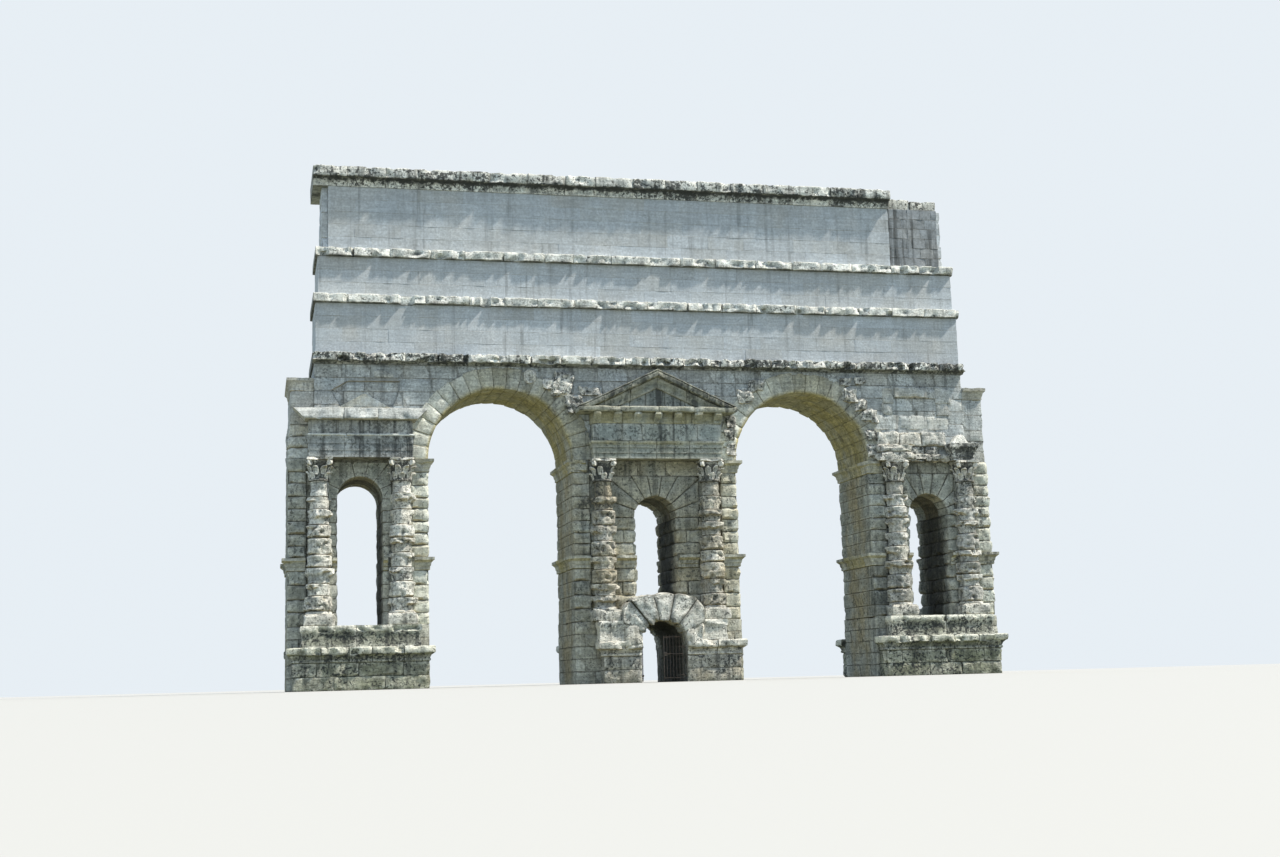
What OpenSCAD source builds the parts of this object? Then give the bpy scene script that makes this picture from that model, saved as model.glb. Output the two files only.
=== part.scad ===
// Double-arched monumental gate in travertine, at real size.
// Frame: millimetres, Z up, the front faces -Y, X runs along the front, the origin is bottom centre.

/* [Levels] */
// Height of the plain podium base
base_h = 1150; // [1000:10:1300]
// Height of the podium ledge
ledge_h = 650; // [500:10:750]
// Height of the podium course, from the ledge up to the column bases
podium_course_h = 900; // [750:10:1000]
// Height of the pier walls from the podium up to the lower impost band
lower_wall_h = 2340; // [2000:10:2700]
// Height of the pier walls between the two impost bands
upper_wall_h = 3690; // [3300:10:4100]
// Height of an impost band
impost_h = 560; // [450:10:650]
// Height of the main cornice over the great arches
main_cornice_h = 460; // [360:10:560]
// Height of the lower attic register
lower_register_h = 2270; // [2000:10:2500]
// Height of the middle attic register
middle_register_h = 1730; // [1500:10:1950]
// Height of the upper attic register
upper_register_h = 2870; // [2500:10:3200]
// Height of a string course between two registers
string_h = 400; // [300:10:460]
// Height of the top cornice
top_cornice_h = 830; // [700:10:950]

/* [Plan] */
// Width of the centre pier
centre_pier_w = 7600; // [7500:20:8200]
// Clear width of a great arch
arch_w = 6350; // [5900:10:6800]
// Width of a side pier with its wing
side_pier_w = 5980; // [5900:20:6500]
// How far a wing reaches past the wall over the arches
wing_w = 1080; // [900:10:1200]
// Thickness of the wall over the strips
wall_t = 4000; // [3700:20:4400]
// How far the wall between the strips lies behind them
recess = 150; // [60:5:220]
// How far the plinth stands out from the strips
plinth_out = 100; // [85:5:140]
// Width of the bossed strip at each pier corner
strip_w = 780; // [640:10:800]
// Depth of the voussoirs of the great arches
voussoir_h = 905; // [750:5:1000]
// Greatest further depth of an uneven voussoir
voussoir_uneven = 90; // [30:5:120]

/* [Mouldings] */
// Stand-out of an impost band
impost_out = 230; // [150:5:280]
// Stand-out of the main cornice
main_cornice_out = 430; // [300:5:500]
// Stand-out of a string course
string_out = 210; // [120:5:260]
// Stand-out of the top cornice
top_cornice_out = 420; // [300:5:500]
// Set-back of the lower register from the strips
lower_setback = 100; // [40:5:160]
// Set-back of the middle register from the lower one
middle_setback = 180; // [80:5:240]
// Set-back of the upper register from the middle one
upper_setback = 220; // [80:5:300]
// Length of the top cornice that is lost at its right end
cornice_lost_w = 2480; // [1800:10:3200]

/* [Aedicules] */
// How far a side aedicule lies inward from the middle of its pier
side_shift = 60; // [0:5:80]
// Distance between the two column axes of a side aedicule
side_col_gap = 3480; // [3300:10:3540]
// Distance between the two column axes of the centre aedicule
centre_col_gap = 4940; // [4700:10:5060]
// Distance of the column axes before the strips
col_out = 200; // [120:5:260]
// Radius of the column shafts
col_r = 440; // [380:5:460]
// Greatest stand-out of a rough drum from the shaft
drum_boss = 100; // [20:5:120]
// Height of a column's base
col_base_h = 600; // [450:10:750]
// Height of a capital
capital_h = 1000; // [850:10:1150]
// Distance of the entablature faces before the strips
entab_out = 680; // [600:10:740]
// Height of a side architrave
side_architrave_h = 950; // [800:10:1050]
// Height of a side frieze
side_frieze_h = 650; // [500:10:750]
// Height of the worn course over a side frieze
worn_course_h = 520; // [400:10:600]
// Height of the centre architrave
centre_architrave_h = 780; // [650:10:900]
// Height of the centre frieze
centre_frieze_h = 790; // [650:10:900]
// Height of the bracket course over the centre frieze
bracket_course_h = 480; // [380:10:560]
// Height of the flat cornice under the pediment
cornice_slab_h = 250; // [180:10:320]
// Reach of the cornices past the ends of their friezes
cornice_over = 690; // [500:10:760]
// How far the pediment's point stays below the main cornice
point_drop = 180; // [60:10:400]
// Distance of the podium base before the strips
podium_out = 850; // [800:10:950]
// Stand-out of the podium ledge from its base
ledge_out = 250; // [150:5:280]
// Width of a window
window_w = 1940; // [1700:10:2000]
// Height of the left window over the podium
left_window_h = 6410; // [5600:10:6450]
// Height of the right window over the podium
right_window_h = 5660; // [5300:10:6300]
// Height of the centre window
centre_window_h = 5010; // [4700:10:5600]
// Height of the centre window's sill over the low passage
centre_sill_h = 550; // [300:10:800]

/* [Low passage and gate] */
// Clear width of the low passage
low_w = 2060; // [1900:10:2200]
// Height of the low passage at its crown
low_h = 2700; // [2600:10:2900]
// Least depth of its rough voussoirs
low_voussoir_h = 1150; // [900:10:1250]
// Distance of the gate leaves behind the ledge face
gate_inset = 500; // [300:10:700]
// Diameter of a gate bar
bar_d = 24; // [16:1:30]
// Gate bars of a leaf, counted without the one at the hinge
gate_bars = 6; // [5:1:8]
// Clearance of the gate leaves from stone and from each other
gate_gap = 12; // [8:1:20]

/* [Hidden] */
$fn = 48;
far = 60000;
eps = 1;
fit_gap = 10;
open_joint = 30;
joint_a = 0.4;

// Plan, from the middle outward
centre_half_w = centre_pier_w / 2;
arch_r = arch_w / 2;
arch_x = centre_half_w + arch_r;
arch_out_x = centre_half_w + arch_w;
pier_half_w = arch_out_x + side_pier_w;
upper_half_w = pier_half_w - wing_w;
side_x = arch_out_x + side_pier_w / 2 - side_shift;
wall_y = wall_t / 2;
face_y = wall_y - recess;
plinth_y = wall_y + plinth_out;

// Levels, from the ground up
ledge_z = base_h;
podium_course_z = ledge_z + ledge_h;
podium_top_z = podium_course_z + podium_course_h;
lower_impost_z = podium_top_z + lower_wall_h;
upper_wall_z = lower_impost_z + impost_h;
upper_impost_z = upper_wall_z + upper_wall_h;
spring_z = upper_impost_z + impost_h;
main_cornice_z = spring_z + arch_r + voussoir_h + voussoir_uneven;
lower_register_z = main_cornice_z + main_cornice_h;
lower_string_z = lower_register_z + lower_register_h;
middle_register_z = lower_string_z + string_h;
upper_string_z = middle_register_z + middle_register_h;
upper_register_z = upper_string_z + string_h;
top_cornice_z = upper_register_z + upper_register_h;
total_h = top_cornice_z + top_cornice_h;

// Masonry
course_h = 560;
boss_out = [10, 80];
voussoirs = 19;
ring_out = [15, 50];

// Attic
register_end = 50;
cornice_end = 80;
string_end = 95;
middle_end = 100;
upper_end = 450;
upper_strip_end = 180;
upper_strip_setback = 250;
top_cornice_end = 390;
corner_block_w = 1150;
corner_block_in = 60;
corner_block_drop = 330;
end_block_in = 20;
end_block_drop = 400;
lower_reg_w = upper_half_w - register_end;
lower_reg_y = wall_y - lower_setback;
middle_reg_w = lower_reg_w - middle_end;
middle_reg_y = lower_reg_y - middle_setback;
upper_reg_w = middle_reg_w - upper_end;
upper_reg_y = middle_reg_y - upper_setback;
upper_strip_w = middle_reg_w - upper_strip_end;
upper_strip_y = upper_reg_y - upper_strip_setback;
top_break_x = upper_reg_w - cornice_lost_w;

// Wings
wing_end = 80;
wing_setback = 100;
wing_h = 2970;
wing_block_h = 550;
wing_block_out = 180;
wing_block_in = 20;
wing_y = wall_y - wing_setback;
wing_half_w = pier_half_w - wing_end;

// Windows
left_stones = 7;
right_stones = 5;
centre_stones = 7;
left_ring_h = 620;
right_ring_h = 950;
centre_ring_h = 900;
window_ring_out = [20, 60];

// Columns
side_col_x = side_col_gap / 2;
centre_col_x = centre_col_gap / 2;
col_y = wall_y + col_out;
drums = 9;
base_cone_h = 120;
base_cone_in = 40;
backing_half_w = col_r - 40;
base_half_w = col_r + 210;
slab_half_w = col_r + 120;
slab_h = 130;
bell_h = capital_h - slab_h;
necking_h = 60;
leaf_w = 190;
col_room = max(col_r + drum_boss, slab_half_w) + 2 * fit_gap;
side_ring_half_w = side_col_x - backing_half_w - fit_gap;
centre_ring_half_w = centre_col_x - backing_half_w - fit_gap;

// Entablatures
entab_over = 20;
fascia_out = 80;
worn_course_out = 300;
bracket_course_out = 40;
bracket_out = 360;
cornice_slab_out = 420;
brackets = 7;
bracket_w = 330;
raking_h = 420;
tympanum_in = 200;
entab_y = wall_y + entab_out;
side_entab_w = side_col_x + col_r + entab_over;
centre_entab_w = centre_col_x + col_r + entab_over;
pediment_half_w = centre_entab_w + cornice_over;
worn_course_z = spring_z + side_architrave_h + side_frieze_h;
side_entab_top_z = worn_course_z + worn_course_h;
bracket_course_z = spring_z + centre_architrave_h + centre_frieze_h;
cornice_slab_z = bracket_course_z + bracket_course_h;
pediment_z = cornice_slab_z + cornice_slab_h;
pediment_h = main_cornice_z - point_drop - pediment_z;

// What is left of the right entablature
ruin_block_w = 1640;
ruin_block_h = 700;
ruin_moulded_w = 1100;
ruin_shift = 150;
ruin_stub_h = 290;
ruin_stub_out = 330;
ruin_wall_out = 180;
ruin_course_w = 2960;
ruin_course_h = 610;
ruin_course_out = 250;

// The chase that a lost pediment left over the left aedicule, from its own middle
chase_shift = 200;
chase_deep = 60;
chase = [[-1050, 130], [-1450, 890], [-710, 1320], [1530, 1320], [1490, 850], [1220, 160], [1000, 140],
         [-10, 720]];

// Podiums
podium_over = 660;
course_in = 100;
broken_ledge_in = 1100;
podium_y = wall_y + podium_out;
ledge_y = podium_y + ledge_out;
podium_half_w = side_entab_w + podium_over - 2 * fit_gap;
centre_podium_w = centre_half_w - 3 * fit_gap - ledge_out;

// Low passage: the joints of its arch run from bed_a to 180 - bed_a, each with its own further reach
low_r = low_w / 2;
low_spring_z = low_h - low_r;
low_stones = 5;
bed_a = 26;
low_step = (180 - 2 * bed_a) / low_stones;
low_uneven = [80, 280, 30, 0, 290, 100];
low_joint_a = 0.8;
low_stone_out = [20, 80];
low_ring_y = ledge_y - low_stone_out[1];
low_ring_half_w = centre_col_x - base_half_w - fit_gap;

// Gate
gate_y = ledge_y - gate_inset;
hinge_jamb = 110;
hinge_x = low_r - hinge_jamb;
leaf_w_gate = hinge_x - gate_gap / 2;
stile_x = 45;
rail_t = 14;
rail_h = 45;
lock_t = 40;
lock_w = 120;
lock_h = 160;
foot_gap = 42;
head_gap = 30;
low_rail_z = 160;
lock_rail_z = 1200;
head_rail_drop = 120;
pin_d = 22;
eye_clear = 0.4;
eye_h = 70;
eye_d = 62;
bracket_plate_h = 30;
gate_h = low_spring_z + sqrt(pow(low_r, 2) - pow(hinge_x + bar_d / 2 + gate_gap, 2)) - head_gap;
pin_zs = [260, gate_h - 550];

stone = [0.78, 0.75, 0.69];
stone_dark = [0.62, 0.59, 0.54];
iron = [0.16, 0.15, 0.14];

// A steady stand-in for chance: 0 to 1 from a count and a salt.
function chance(i, salt) = (sin(i * 137.5 + salt * 71.3) + 1) / 2;

// The value a share t of the way from range[0] to range[1].
function between(range, t) = range[0] + (range[1] - range[0]) * t;

// A point at an angle and a distance from the middle of an arch.
function polar(a, r) = [r * cos(a), r * sin(a)];

// A symmetric cross-section: half width plus a profile of [stand-out, height] points.
function section(half, profile) = concat(
    [for (p = profile) [half + p[0], p[1]]],
    [for (i = [len(profile) - 1:-1:0]) [-half - profile[i][0], profile[i][1]]]);

// Profiles, each from its underside up, for a moulding of height h standing out by s.
function cornice_profile(h, s) = [[0, 0], [0.15 * s, 0], [0.18 * s, 0.2 * h], [0.45 * s, 0.36 * h],
    [0.52 * s, 0.5 * h], [0.92 * s, 0.56 * h], [s, 0.8 * h], [s, 0.94 * h], [0.9 * s, h], [0, h]];
function impost_profile(h, s) = [[0, 0], [0.2 * s, 0.04 * h], [0.2 * s, 0.28 * h], [0.34 * s, 0.34 * h],
    [0.45 * s, 0.58 * h], [0.85 * s, 0.74 * h], [s, 0.78 * h], [s, h], [0, h]];
function string_profile(h, s) = [[0, 0], [0.3 * s, 0.06 * h], [0.55 * s, 0.32 * h], [s, 0.45 * h],
    [s, 0.8 * h], [0.8 * s, h], [0, h]];
function architrave_profile(h, s) = [[0, 0], [0, 0.3 * h], [0.25 * s, 0.3 * h], [0.25 * s, 0.62 * h],
    [0.5 * s, 0.62 * h], [0.5 * s, 0.82 * h], [s, 0.9 * h], [s, h], [0, h]];
function worn_profile(h, s) = [[0, 0], [0.2 * s, 0], [0.8 * s, 0.4 * h], [s, 0.7 * h], [0.9 * s, h], [0, h]];

// A block of width w and depth d whose sides carry a profile, and its ends the same or another one.
module moulded_block(w, d, profile, end_profile = undef) {
    ends = is_undef(end_profile) ? profile : end_profile;
    intersection() {
        rotate([90, 0, 90]) linear_extrude(height = 2 * w, center = true)
            polygon(section(d / 2, profile));
        rotate([90, 0, 0]) linear_extrude(height = 2 * d, center = true)
            polygon(section(w / 2, ends));
    }
}

// A straight run of a profile along X, with plain ends.
module moulded_run(x0, x1, half_d, profile) {
    translate([x0, 0, 0]) rotate([90, 0, 90]) linear_extrude(height = x1 - x0)
        polygon(section(half_d, profile));
}

// A box from its two corners.
module box(x0, x1, y0, y1, z0, z1) {
    translate([x0, y0, z0]) cube([x1 - x0, y1 - y0, z1 - z0]);
}

// An outline of X and Z, drawn out to y on both sides of the middle plane.
module upright(y) {
    rotate([90, 0, 0]) linear_extrude(height = 2 * y, center = true) children();
}

module left_side() {
    mirror([1, 0, 0]) children();
}

module back_side() {
    mirror([0, 1, 0]) children();
}

// A round-headed opening through Y, from z0 up to its crown.
module arched_hole(x, w, z0, crown) {
    translate([x, 0, 0]) {
        box(-w / 2, w / 2, -far, far, z0, crown - w / 2);
        translate([0, 0, crown - w / 2]) rotate([90, 0, 0])
            cylinder(h = 2 * far, d = w, center = true, $fn = 96);
    }
}

// A wedge of an arch between two angles, out to radius r.
module wedge(a0, a1, r) {
    polygon([[0, 0], polar(a0, r), polar(a1, r)]);
}

// Bossed blocks on the front and back faces, from x0 to x1, one to each course.
module bossed_strip(x0, x1, z0, z1, salt) {
    courses = round((z1 - z0) / course_h);
    step = (z1 - z0) / courses;
    for (i = [0:courses - 1]) {
        out = between(boss_out, chance(i, salt));
        box(x0 + open_joint, x1 - open_joint, -wall_y - out, wall_y + out,
            z0 + i * step + open_joint, z0 + (i + 1) * step - open_joint);
    }
}

// A pier's masonry, from x0 to x1: plinth, recessed wall and a strip at each corner.
module pier_mass(x0, x1, salt) {
    box(x0, x1, -face_y, face_y, 0, spring_z);
    box(x0, x1, -plinth_y, plinth_y, 0, podium_top_z);
    for (side = [0, 1]) {
        strip_x = side == 0 ? x0 : x1 - strip_w;
        box(strip_x, strip_x + strip_w, -wall_y, wall_y, 0, spring_z);
        bossed_strip(strip_x, strip_x + strip_w, podium_top_z, lower_impost_z, salt + side);
        bossed_strip(strip_x, strip_x + strip_w, upper_wall_z, upper_impost_z, salt + side + 2);
    }
}

// The voussoirs over a window: flat-topped, held in by the columns, standing out between open joints.
module window_ring(x, crown, ring_h, stones, half_w, salt) {
    ring_spring_z = crown - window_w / 2;
    top_z = min(crown + ring_h, spring_z);
    step = 180 / stones;
    translate([x, 0, ring_spring_z]) intersection() {
        for (i = [0:stones - 1])
            upright(face_y + between(window_ring_out, chance(i, salt)))
                wedge(i * step + joint_a, (i + 1) * step - joint_a, 3 * half_w);
        box(-half_w, half_w, -far, far, 0, top_z - ring_spring_z);
    }
}

module side_pier(window_h, ring_h, stones, salt) {
    crown = podium_top_z + window_h;
    difference() {
        union() {
            pier_mass(arch_out_x, pier_half_w, salt);
            window_ring(side_x, crown, ring_h, stones, side_ring_half_w, salt);
        }
        arched_hole(side_x, window_w, podium_top_z, crown);
    }
}

module left_pier() {
    color(stone) left_side() side_pier(left_window_h, left_ring_h, left_stones, 3);
}

module right_pier() {
    color(stone) side_pier(right_window_h, right_ring_h, right_stones, 5);
}

module centre_pier() {
    sill_z = low_h + centre_sill_h;
    crown = sill_z + centre_window_h;
    color(stone) difference() {
        union() {
            pier_mass(-centre_half_w, centre_half_w, 8);
            window_ring(0, crown, centre_ring_h, centre_stones, centre_ring_half_w, 8);
        }
        arched_hole(0, window_w, sill_z, crown);
        arched_hole(0, low_w, -eps, low_h);
        low_ring_body();
        back_side() low_ring_body();
    }
}

// What an impost leaves free: the pier behind it, and the columns on each side of the middle x.
module impost_room(x0, x1, x, col_x) {
    box(x0, x1, -face_y, face_y, 0, far);
    box(x0, x0 + strip_w, -wall_y, wall_y, 0, far);
    box(x1 - strip_w, x1, -wall_y, wall_y, 0, far);
    for (s = [-1, 1])
        box(x + s * col_x - col_room, x + s * col_x + col_room, -far, far, 0, far);
}

// The lower impost band round a pier, open at the columns and at the window.
module impost_band(x0, x1, x, col_x) {
    difference() {
        translate([(x0 + x1) / 2, 0, lower_impost_z])
            moulded_block(x1 - x0, 2 * wall_y, impost_profile(impost_h, impost_out));
        impost_room(x0, x1, x, col_x);
        box(x - window_w / 2, x + window_w / 2, -far, far, 0, far);
    }
}

// The upper impost at a great arch's jamb, round the strip at the pier's end e: 0 at x0, 1 at x1.
module jamb_impost(x0, x1, e, x, col_x) {
    near_x = e == 0 ? x0 - impost_out : x1 - strip_w;
    difference() {
        intersection() {
            translate([(x0 + x1) / 2, 0, upper_impost_z])
                moulded_block(x1 - x0, 2 * wall_y, impost_profile(impost_h, impost_out));
            box(near_x, near_x + strip_w + impost_out, -far, far, 0, far);
        }
        impost_room(x0, x1, x, col_x);
    }
}

module side_imposts() {
    impost_band(arch_out_x, pier_half_w, side_x, side_col_x);
    jamb_impost(arch_out_x, pier_half_w, 0, side_x, side_col_x);
}

module left_pier_imposts() {
    color(stone) left_side() side_imposts();
}

module right_pier_imposts() {
    color(stone) side_imposts();
}

module centre_pier_imposts() {
    color(stone) {
        impost_band(-centre_half_w, centre_half_w, 0, centre_col_x);
        for (e = [0, 1])
            jamb_impost(-centre_half_w, centre_half_w, e, 0, centre_col_x);
    }
}

// The outer reach of one voussoir of a great arch.
function voussoir_reach(i) = arch_r + voussoir_h + voussoir_uneven * chance(i, 2);

// The outline of a great arch's ring, stepped from voussoir to voussoir, with the opening full.
module great_ring_outline() {
    step = 180 / voussoirs;
    polygon([for (i = [0:voussoirs - 1], e = [0, 1]) polar((i + e) * step, voussoir_reach(i))]);
}

// A great arch: the barrel, with each voussoir's face standing out between open joints.
module great_ring() {
    step = 180 / voussoirs;
    difference() {
        translate([arch_x, 0, spring_z]) difference() {
            union() {
                upright(wall_y) great_ring_outline();
                for (i = [0:voussoirs - 1])
                    upright(wall_y + between(ring_out, chance(i, 6)))
                        wedge(i * step + joint_a, (i + 1) * step - joint_a, voussoir_reach(i) - open_joint);
            }
            rotate([90, 0, 0]) cylinder(h = far, r = arch_r, center = true, $fn = 180);
        }
        aedicule_room();
        back_side() aedicule_room();
    }
}

// The room that the entablatures and the pediment take against the wall.
module aedicule_room() {
    side_half_w = side_entab_w + cornice_over + 2 * fit_gap;
    centre_room_w = pediment_half_w + 2 * fit_gap;
    box(side_x - side_half_w, side_x + side_half_w, -far, -wall_y, 0, side_entab_top_z + 2 * fit_gap);
    box(-centre_room_w, centre_room_w, -far, -wall_y, 0, main_cornice_z);
}

module left_arch_ring() {
    color(stone_dark) left_side() great_ring();
}

module right_arch_ring() {
    color(stone_dark) great_ring();
}

// The chase of the lost pediment, sunk in the wall's face.
module lost_pediment_chase() {
    translate([chase_shift - side_x, -wall_y, side_entab_top_z])
        upright(chase_deep) polygon(chase);
}

module spandrel_wall() {
    color(stone) difference() {
        box(-upper_half_w, upper_half_w, -wall_y, wall_y, spring_z, main_cornice_z);
        for (s = [-1, 1])
            translate([s * arch_x, 0, spring_z]) {
                upright(far) mirror([s < 0 ? 1 : 0, 0]) great_ring_outline();
                rotate([90, 0, 0]) cylinder(h = far, r = arch_r, center = true, $fn = 180);
            }
        lost_pediment_chase();
    }
}

// The outer end of a side pier over the springing, with its projecting crown block.
module wing() {
    intersection() {
        union() {
            box(upper_half_w, wing_half_w, -wing_y, wing_y, spring_z, spring_z + wing_h);
            translate([(upper_half_w + wing_half_w) / 2, 0, spring_z + wing_h])
                moulded_block(wing_half_w - upper_half_w - 2 * wing_block_in, 2 * wing_y,
                              impost_profile(wing_block_h, wing_block_out));
        }
        box(upper_half_w, far, -far, far, 0, far);
    }
}

module left_wing() {
    color(stone) left_side() wing();
}

module right_wing() {
    color(stone) wing();
}

module main_cornice() {
    color(stone) translate([0, 0, main_cornice_z])
        moulded_run(-upper_half_w - cornice_end, upper_half_w + cornice_end, wall_y,
                    cornice_profile(main_cornice_h, main_cornice_out));
}

module attic_lower_register() {
    color(stone) box(-lower_reg_w, lower_reg_w, -lower_reg_y, lower_reg_y, lower_register_z, lower_string_z);
}

module string_course(half_w, half_d) {
    moulded_run(-half_w - string_end, half_w + string_end, half_d, string_profile(string_h, string_out));
}

module lower_string_course() {
    color(stone) translate([0, 0, lower_string_z]) string_course(lower_reg_w, lower_reg_y);
}

module attic_middle_register() {
    color(stone) box(-middle_reg_w, middle_reg_w, -middle_reg_y, middle_reg_y,
                     middle_register_z, upper_string_z);
}

module upper_string_course() {
    color(stone) translate([0, 0, upper_string_z]) string_course(middle_reg_w, middle_reg_y);
}

// The top register, with a narrow strip at each end that lies further back.
module attic_upper_register() {
    color(stone) {
        box(-upper_reg_w, upper_reg_w, -upper_reg_y, upper_reg_y, upper_register_z, top_cornice_z);
        box(-upper_strip_w, upper_strip_w, -upper_strip_y, upper_strip_y, upper_register_z, top_cornice_z);
    }
}

// The top cornice, lost at its right end.
module top_cornice() {
    color(stone_dark) translate([0, 0, top_cornice_z])
        moulded_run(-upper_strip_w - top_cornice_end, top_break_x, upper_reg_y,
                    cornice_profile(top_cornice_h, top_cornice_out));
}

// What is left past the break: core blocks without their moulding.
module broken_corner_blocks() {
    block_end_x = top_break_x + corner_block_w;
    corner_y = upper_reg_y - corner_block_in;
    end_y = upper_reg_y - end_block_in;
    color(stone_dark) {
        box(top_break_x, block_end_x, -corner_y, corner_y, top_cornice_z, total_h - corner_block_drop);
        box(block_end_x, upper_reg_w - open_joint, -end_y, end_y, top_cornice_z, total_h - end_block_drop);
    }
}

// A podium before the plinth: base, moulded ledge and upper course.
module podium(x0, x1, course_x0, course_x1) {
    intersection() {
        union() {
            box(x0, x1, -podium_y, 0, 0, ledge_z);
            translate([(x0 + x1) / 2, 0, ledge_z])
                moulded_block(x1 - x0, 2 * podium_y, impost_profile(ledge_h, ledge_out));
            box(course_x0, course_x1, -podium_y - course_in, 0, podium_course_z, podium_top_z);
        }
        box(-far, far, -far, -plinth_y, 0, far);
    }
}

module side_podium() {
    course_w = podium_half_w - 3 * course_in;
    podium(side_x - podium_half_w, side_x + podium_half_w, side_x - course_w, side_x + course_w);
}

// The centre podium, open for the low passage and its rough arch; its left end is at -left_w.
module centre_podium(left_w) {
    difference() {
        podium(-left_w, centre_podium_w, -centre_entab_w, centre_entab_w);
        arched_hole(0, low_w, -eps, low_h);
        low_ring_body();
    }
}

module front_left_podium() {
    color(stone) left_side() side_podium();
}

module front_right_podium() {
    color(stone) side_podium();
}

// Its ledge is broken off on the left.
module front_centre_podium() {
    color(stone) centre_podium(centre_half_w - broken_ledge_in);
}

module back_left_podium() {
    color(stone) back_side() left_side() side_podium();
}

module back_right_podium() {
    color(stone) back_side() side_podium();
}

module back_centre_podium() {
    color(stone) back_side() centre_podium(centre_podium_w);
}

// A joint of the low arch at its outer end, turned by a small angle and drawn in by a small length.
function low_joint(i, turn = 0, drawn_in = 0) =
    polar(bed_a + i * low_step + turn, low_r + low_voussoir_h + low_uneven[i] - drawn_in);

// The low arch out to low_ring_y as one body with the opening full, held in by the column bases.
module low_ring_body() {
    intersection() {
        translate([0, 0, low_spring_z]) upright(low_ring_y)
            polygon(concat([[0, 0]], [for (i = [0:low_stones]) low_joint(i)]));
        box(-low_ring_half_w, low_ring_half_w, -far, -face_y, 0, far);
    }
}

// One stone of the low arch, with its face standing out from the others by its own amount.
module low_stone(i) {
    upright(low_ring_y + between(low_stone_out, chance(i, 4)))
        polygon([[0, 0], low_joint(i, low_joint_a, open_joint), low_joint(i + 1, -low_joint_a, open_joint)]);
}

module low_ring() {
    difference() {
        union() {
            low_ring_body();
            intersection() {
                translate([0, 0, low_spring_z])
                    for (i = [0:low_stones - 1])
                        low_stone(i);
                box(fit_gap - low_ring_half_w, low_ring_half_w - fit_gap, -far, -face_y - fit_gap, 0, far);
            }
        }
        arched_hole(0, low_w, -eps, low_h);
    }
}

module front_low_arch_ring() {
    color(stone) low_ring();
}

module back_low_arch_ring() {
    color(stone) back_side() low_ring();
}

// A roughly carved leaf capital: bell, two rows of leaf lumps and a flat slab.
module capital() {
    rotate_extrude() polygon([[0, 0], [col_r + 30, 0], [col_r + 30, necking_h],
        [col_r - 10, 1.5 * necking_h], [col_r - 20, bell_h * 0.5], [col_r + 40, bell_h * 0.82],
        [col_r + 110, bell_h], [0, bell_h]]);
    for (row = [0, 1])
        for (i = [0:3])
            rotate([0, 0, 202.5 + 45 * i - (row == 0 ? 22.5 : 0)])
                translate([col_r - 40, 0, 1.5 * necking_h + row * bell_h * 0.42])
                    rotate([90, 0, 0]) linear_extrude(height = leaf_w, center = true)
                        polygon([[0, 0], [50, 0], [70, bell_h * 0.3], [130, bell_h * 0.38],
                                 [110, bell_h * 0.42], [0, bell_h * 0.4]]);
    box(-slab_half_w, slab_half_w, -slab_half_w, slab_half_w, bell_h, capital_h);
}

// One column: a base block, rough drums of uneven width and a capital.
module column(salt) {
    shaft_z = podium_top_z + col_base_h;
    capital_z = spring_z - capital_h;
    step = (capital_z - shaft_z) / drums;
    box(-base_half_w, base_half_w, -base_half_w, base_half_w, podium_top_z, shaft_z - base_cone_h);
    translate([0, 0, shaft_z - base_cone_h])
        cylinder(h = base_cone_h, r1 = base_half_w - base_cone_in, r2 = col_r);
    for (i = [0:drums - 1]) {
        out = i == drums - 1 ? 0 : drum_boss * chance(i, salt);
        translate([0, 0, shaft_z + i * step]) {
            cylinder(h = step, r = col_r);
            translate([0, 0, open_joint]) cylinder(h = step - 2 * open_joint, r = col_r + out);
        }
    }
    translate([0, 0, capital_z]) capital();
}

// A pair of columns about the middle x, each cut at the plinth and backed in the wall's recess.
module columns(x, col_x, recess_x0, recess_x1, salt) {
    for (s = [0, 1]) {
        axis_x = x + (2 * s - 1) * col_x;
        intersection() {
            translate([axis_x, -col_y, 0]) column(salt + s);
            box(-far, far, -far, -plinth_y, 0, far);
        }
        box(max(axis_x - backing_half_w, recess_x0), min(axis_x + backing_half_w, recess_x1),
            -plinth_y, -face_y, podium_top_z, spring_z);
    }
}

module side_columns(salt) {
    columns(side_x, side_col_x, arch_out_x + strip_w, pier_half_w - strip_w, salt);
}

module centre_columns(salt) {
    columns(0, centre_col_x, strip_w - centre_half_w, centre_half_w - strip_w, salt);
}

module front_left_columns() {
    color(stone) left_side() side_columns(11);
}

module front_centre_columns() {
    color(stone) centre_columns(21);
}

module front_right_columns() {
    color(stone) side_columns(31);
}

module back_left_columns() {
    color(stone) back_side() left_side() side_columns(41);
}

module back_centre_columns() {
    color(stone) back_side() centre_columns(51);
}

module back_right_columns() {
    color(stone) back_side() side_columns(61);
}

// The front half of a body, cut at the strips' face.
module before_wall() {
    intersection() {
        children();
        box(-far, far, -far, -wall_y, 0, far);
    }
}

// A side entablature: moulded architrave, plain frieze, and the worn course that was its cornice.
module side_entablature() {
    before_wall() {
        translate([side_x, 0, spring_z])
            moulded_block(2 * side_entab_w, 2 * entab_y, architrave_profile(side_architrave_h, fascia_out));
        box(side_x - side_entab_w, side_x + side_entab_w, -entab_y, 0,
            spring_z + side_architrave_h, worn_course_z);
        translate([side_x, 0, worn_course_z])
            moulded_block(2 * side_entab_w, 2 * entab_y, worn_profile(worn_course_h, worn_course_out),
                          worn_profile(worn_course_h, cornice_over));
    }
}

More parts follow.
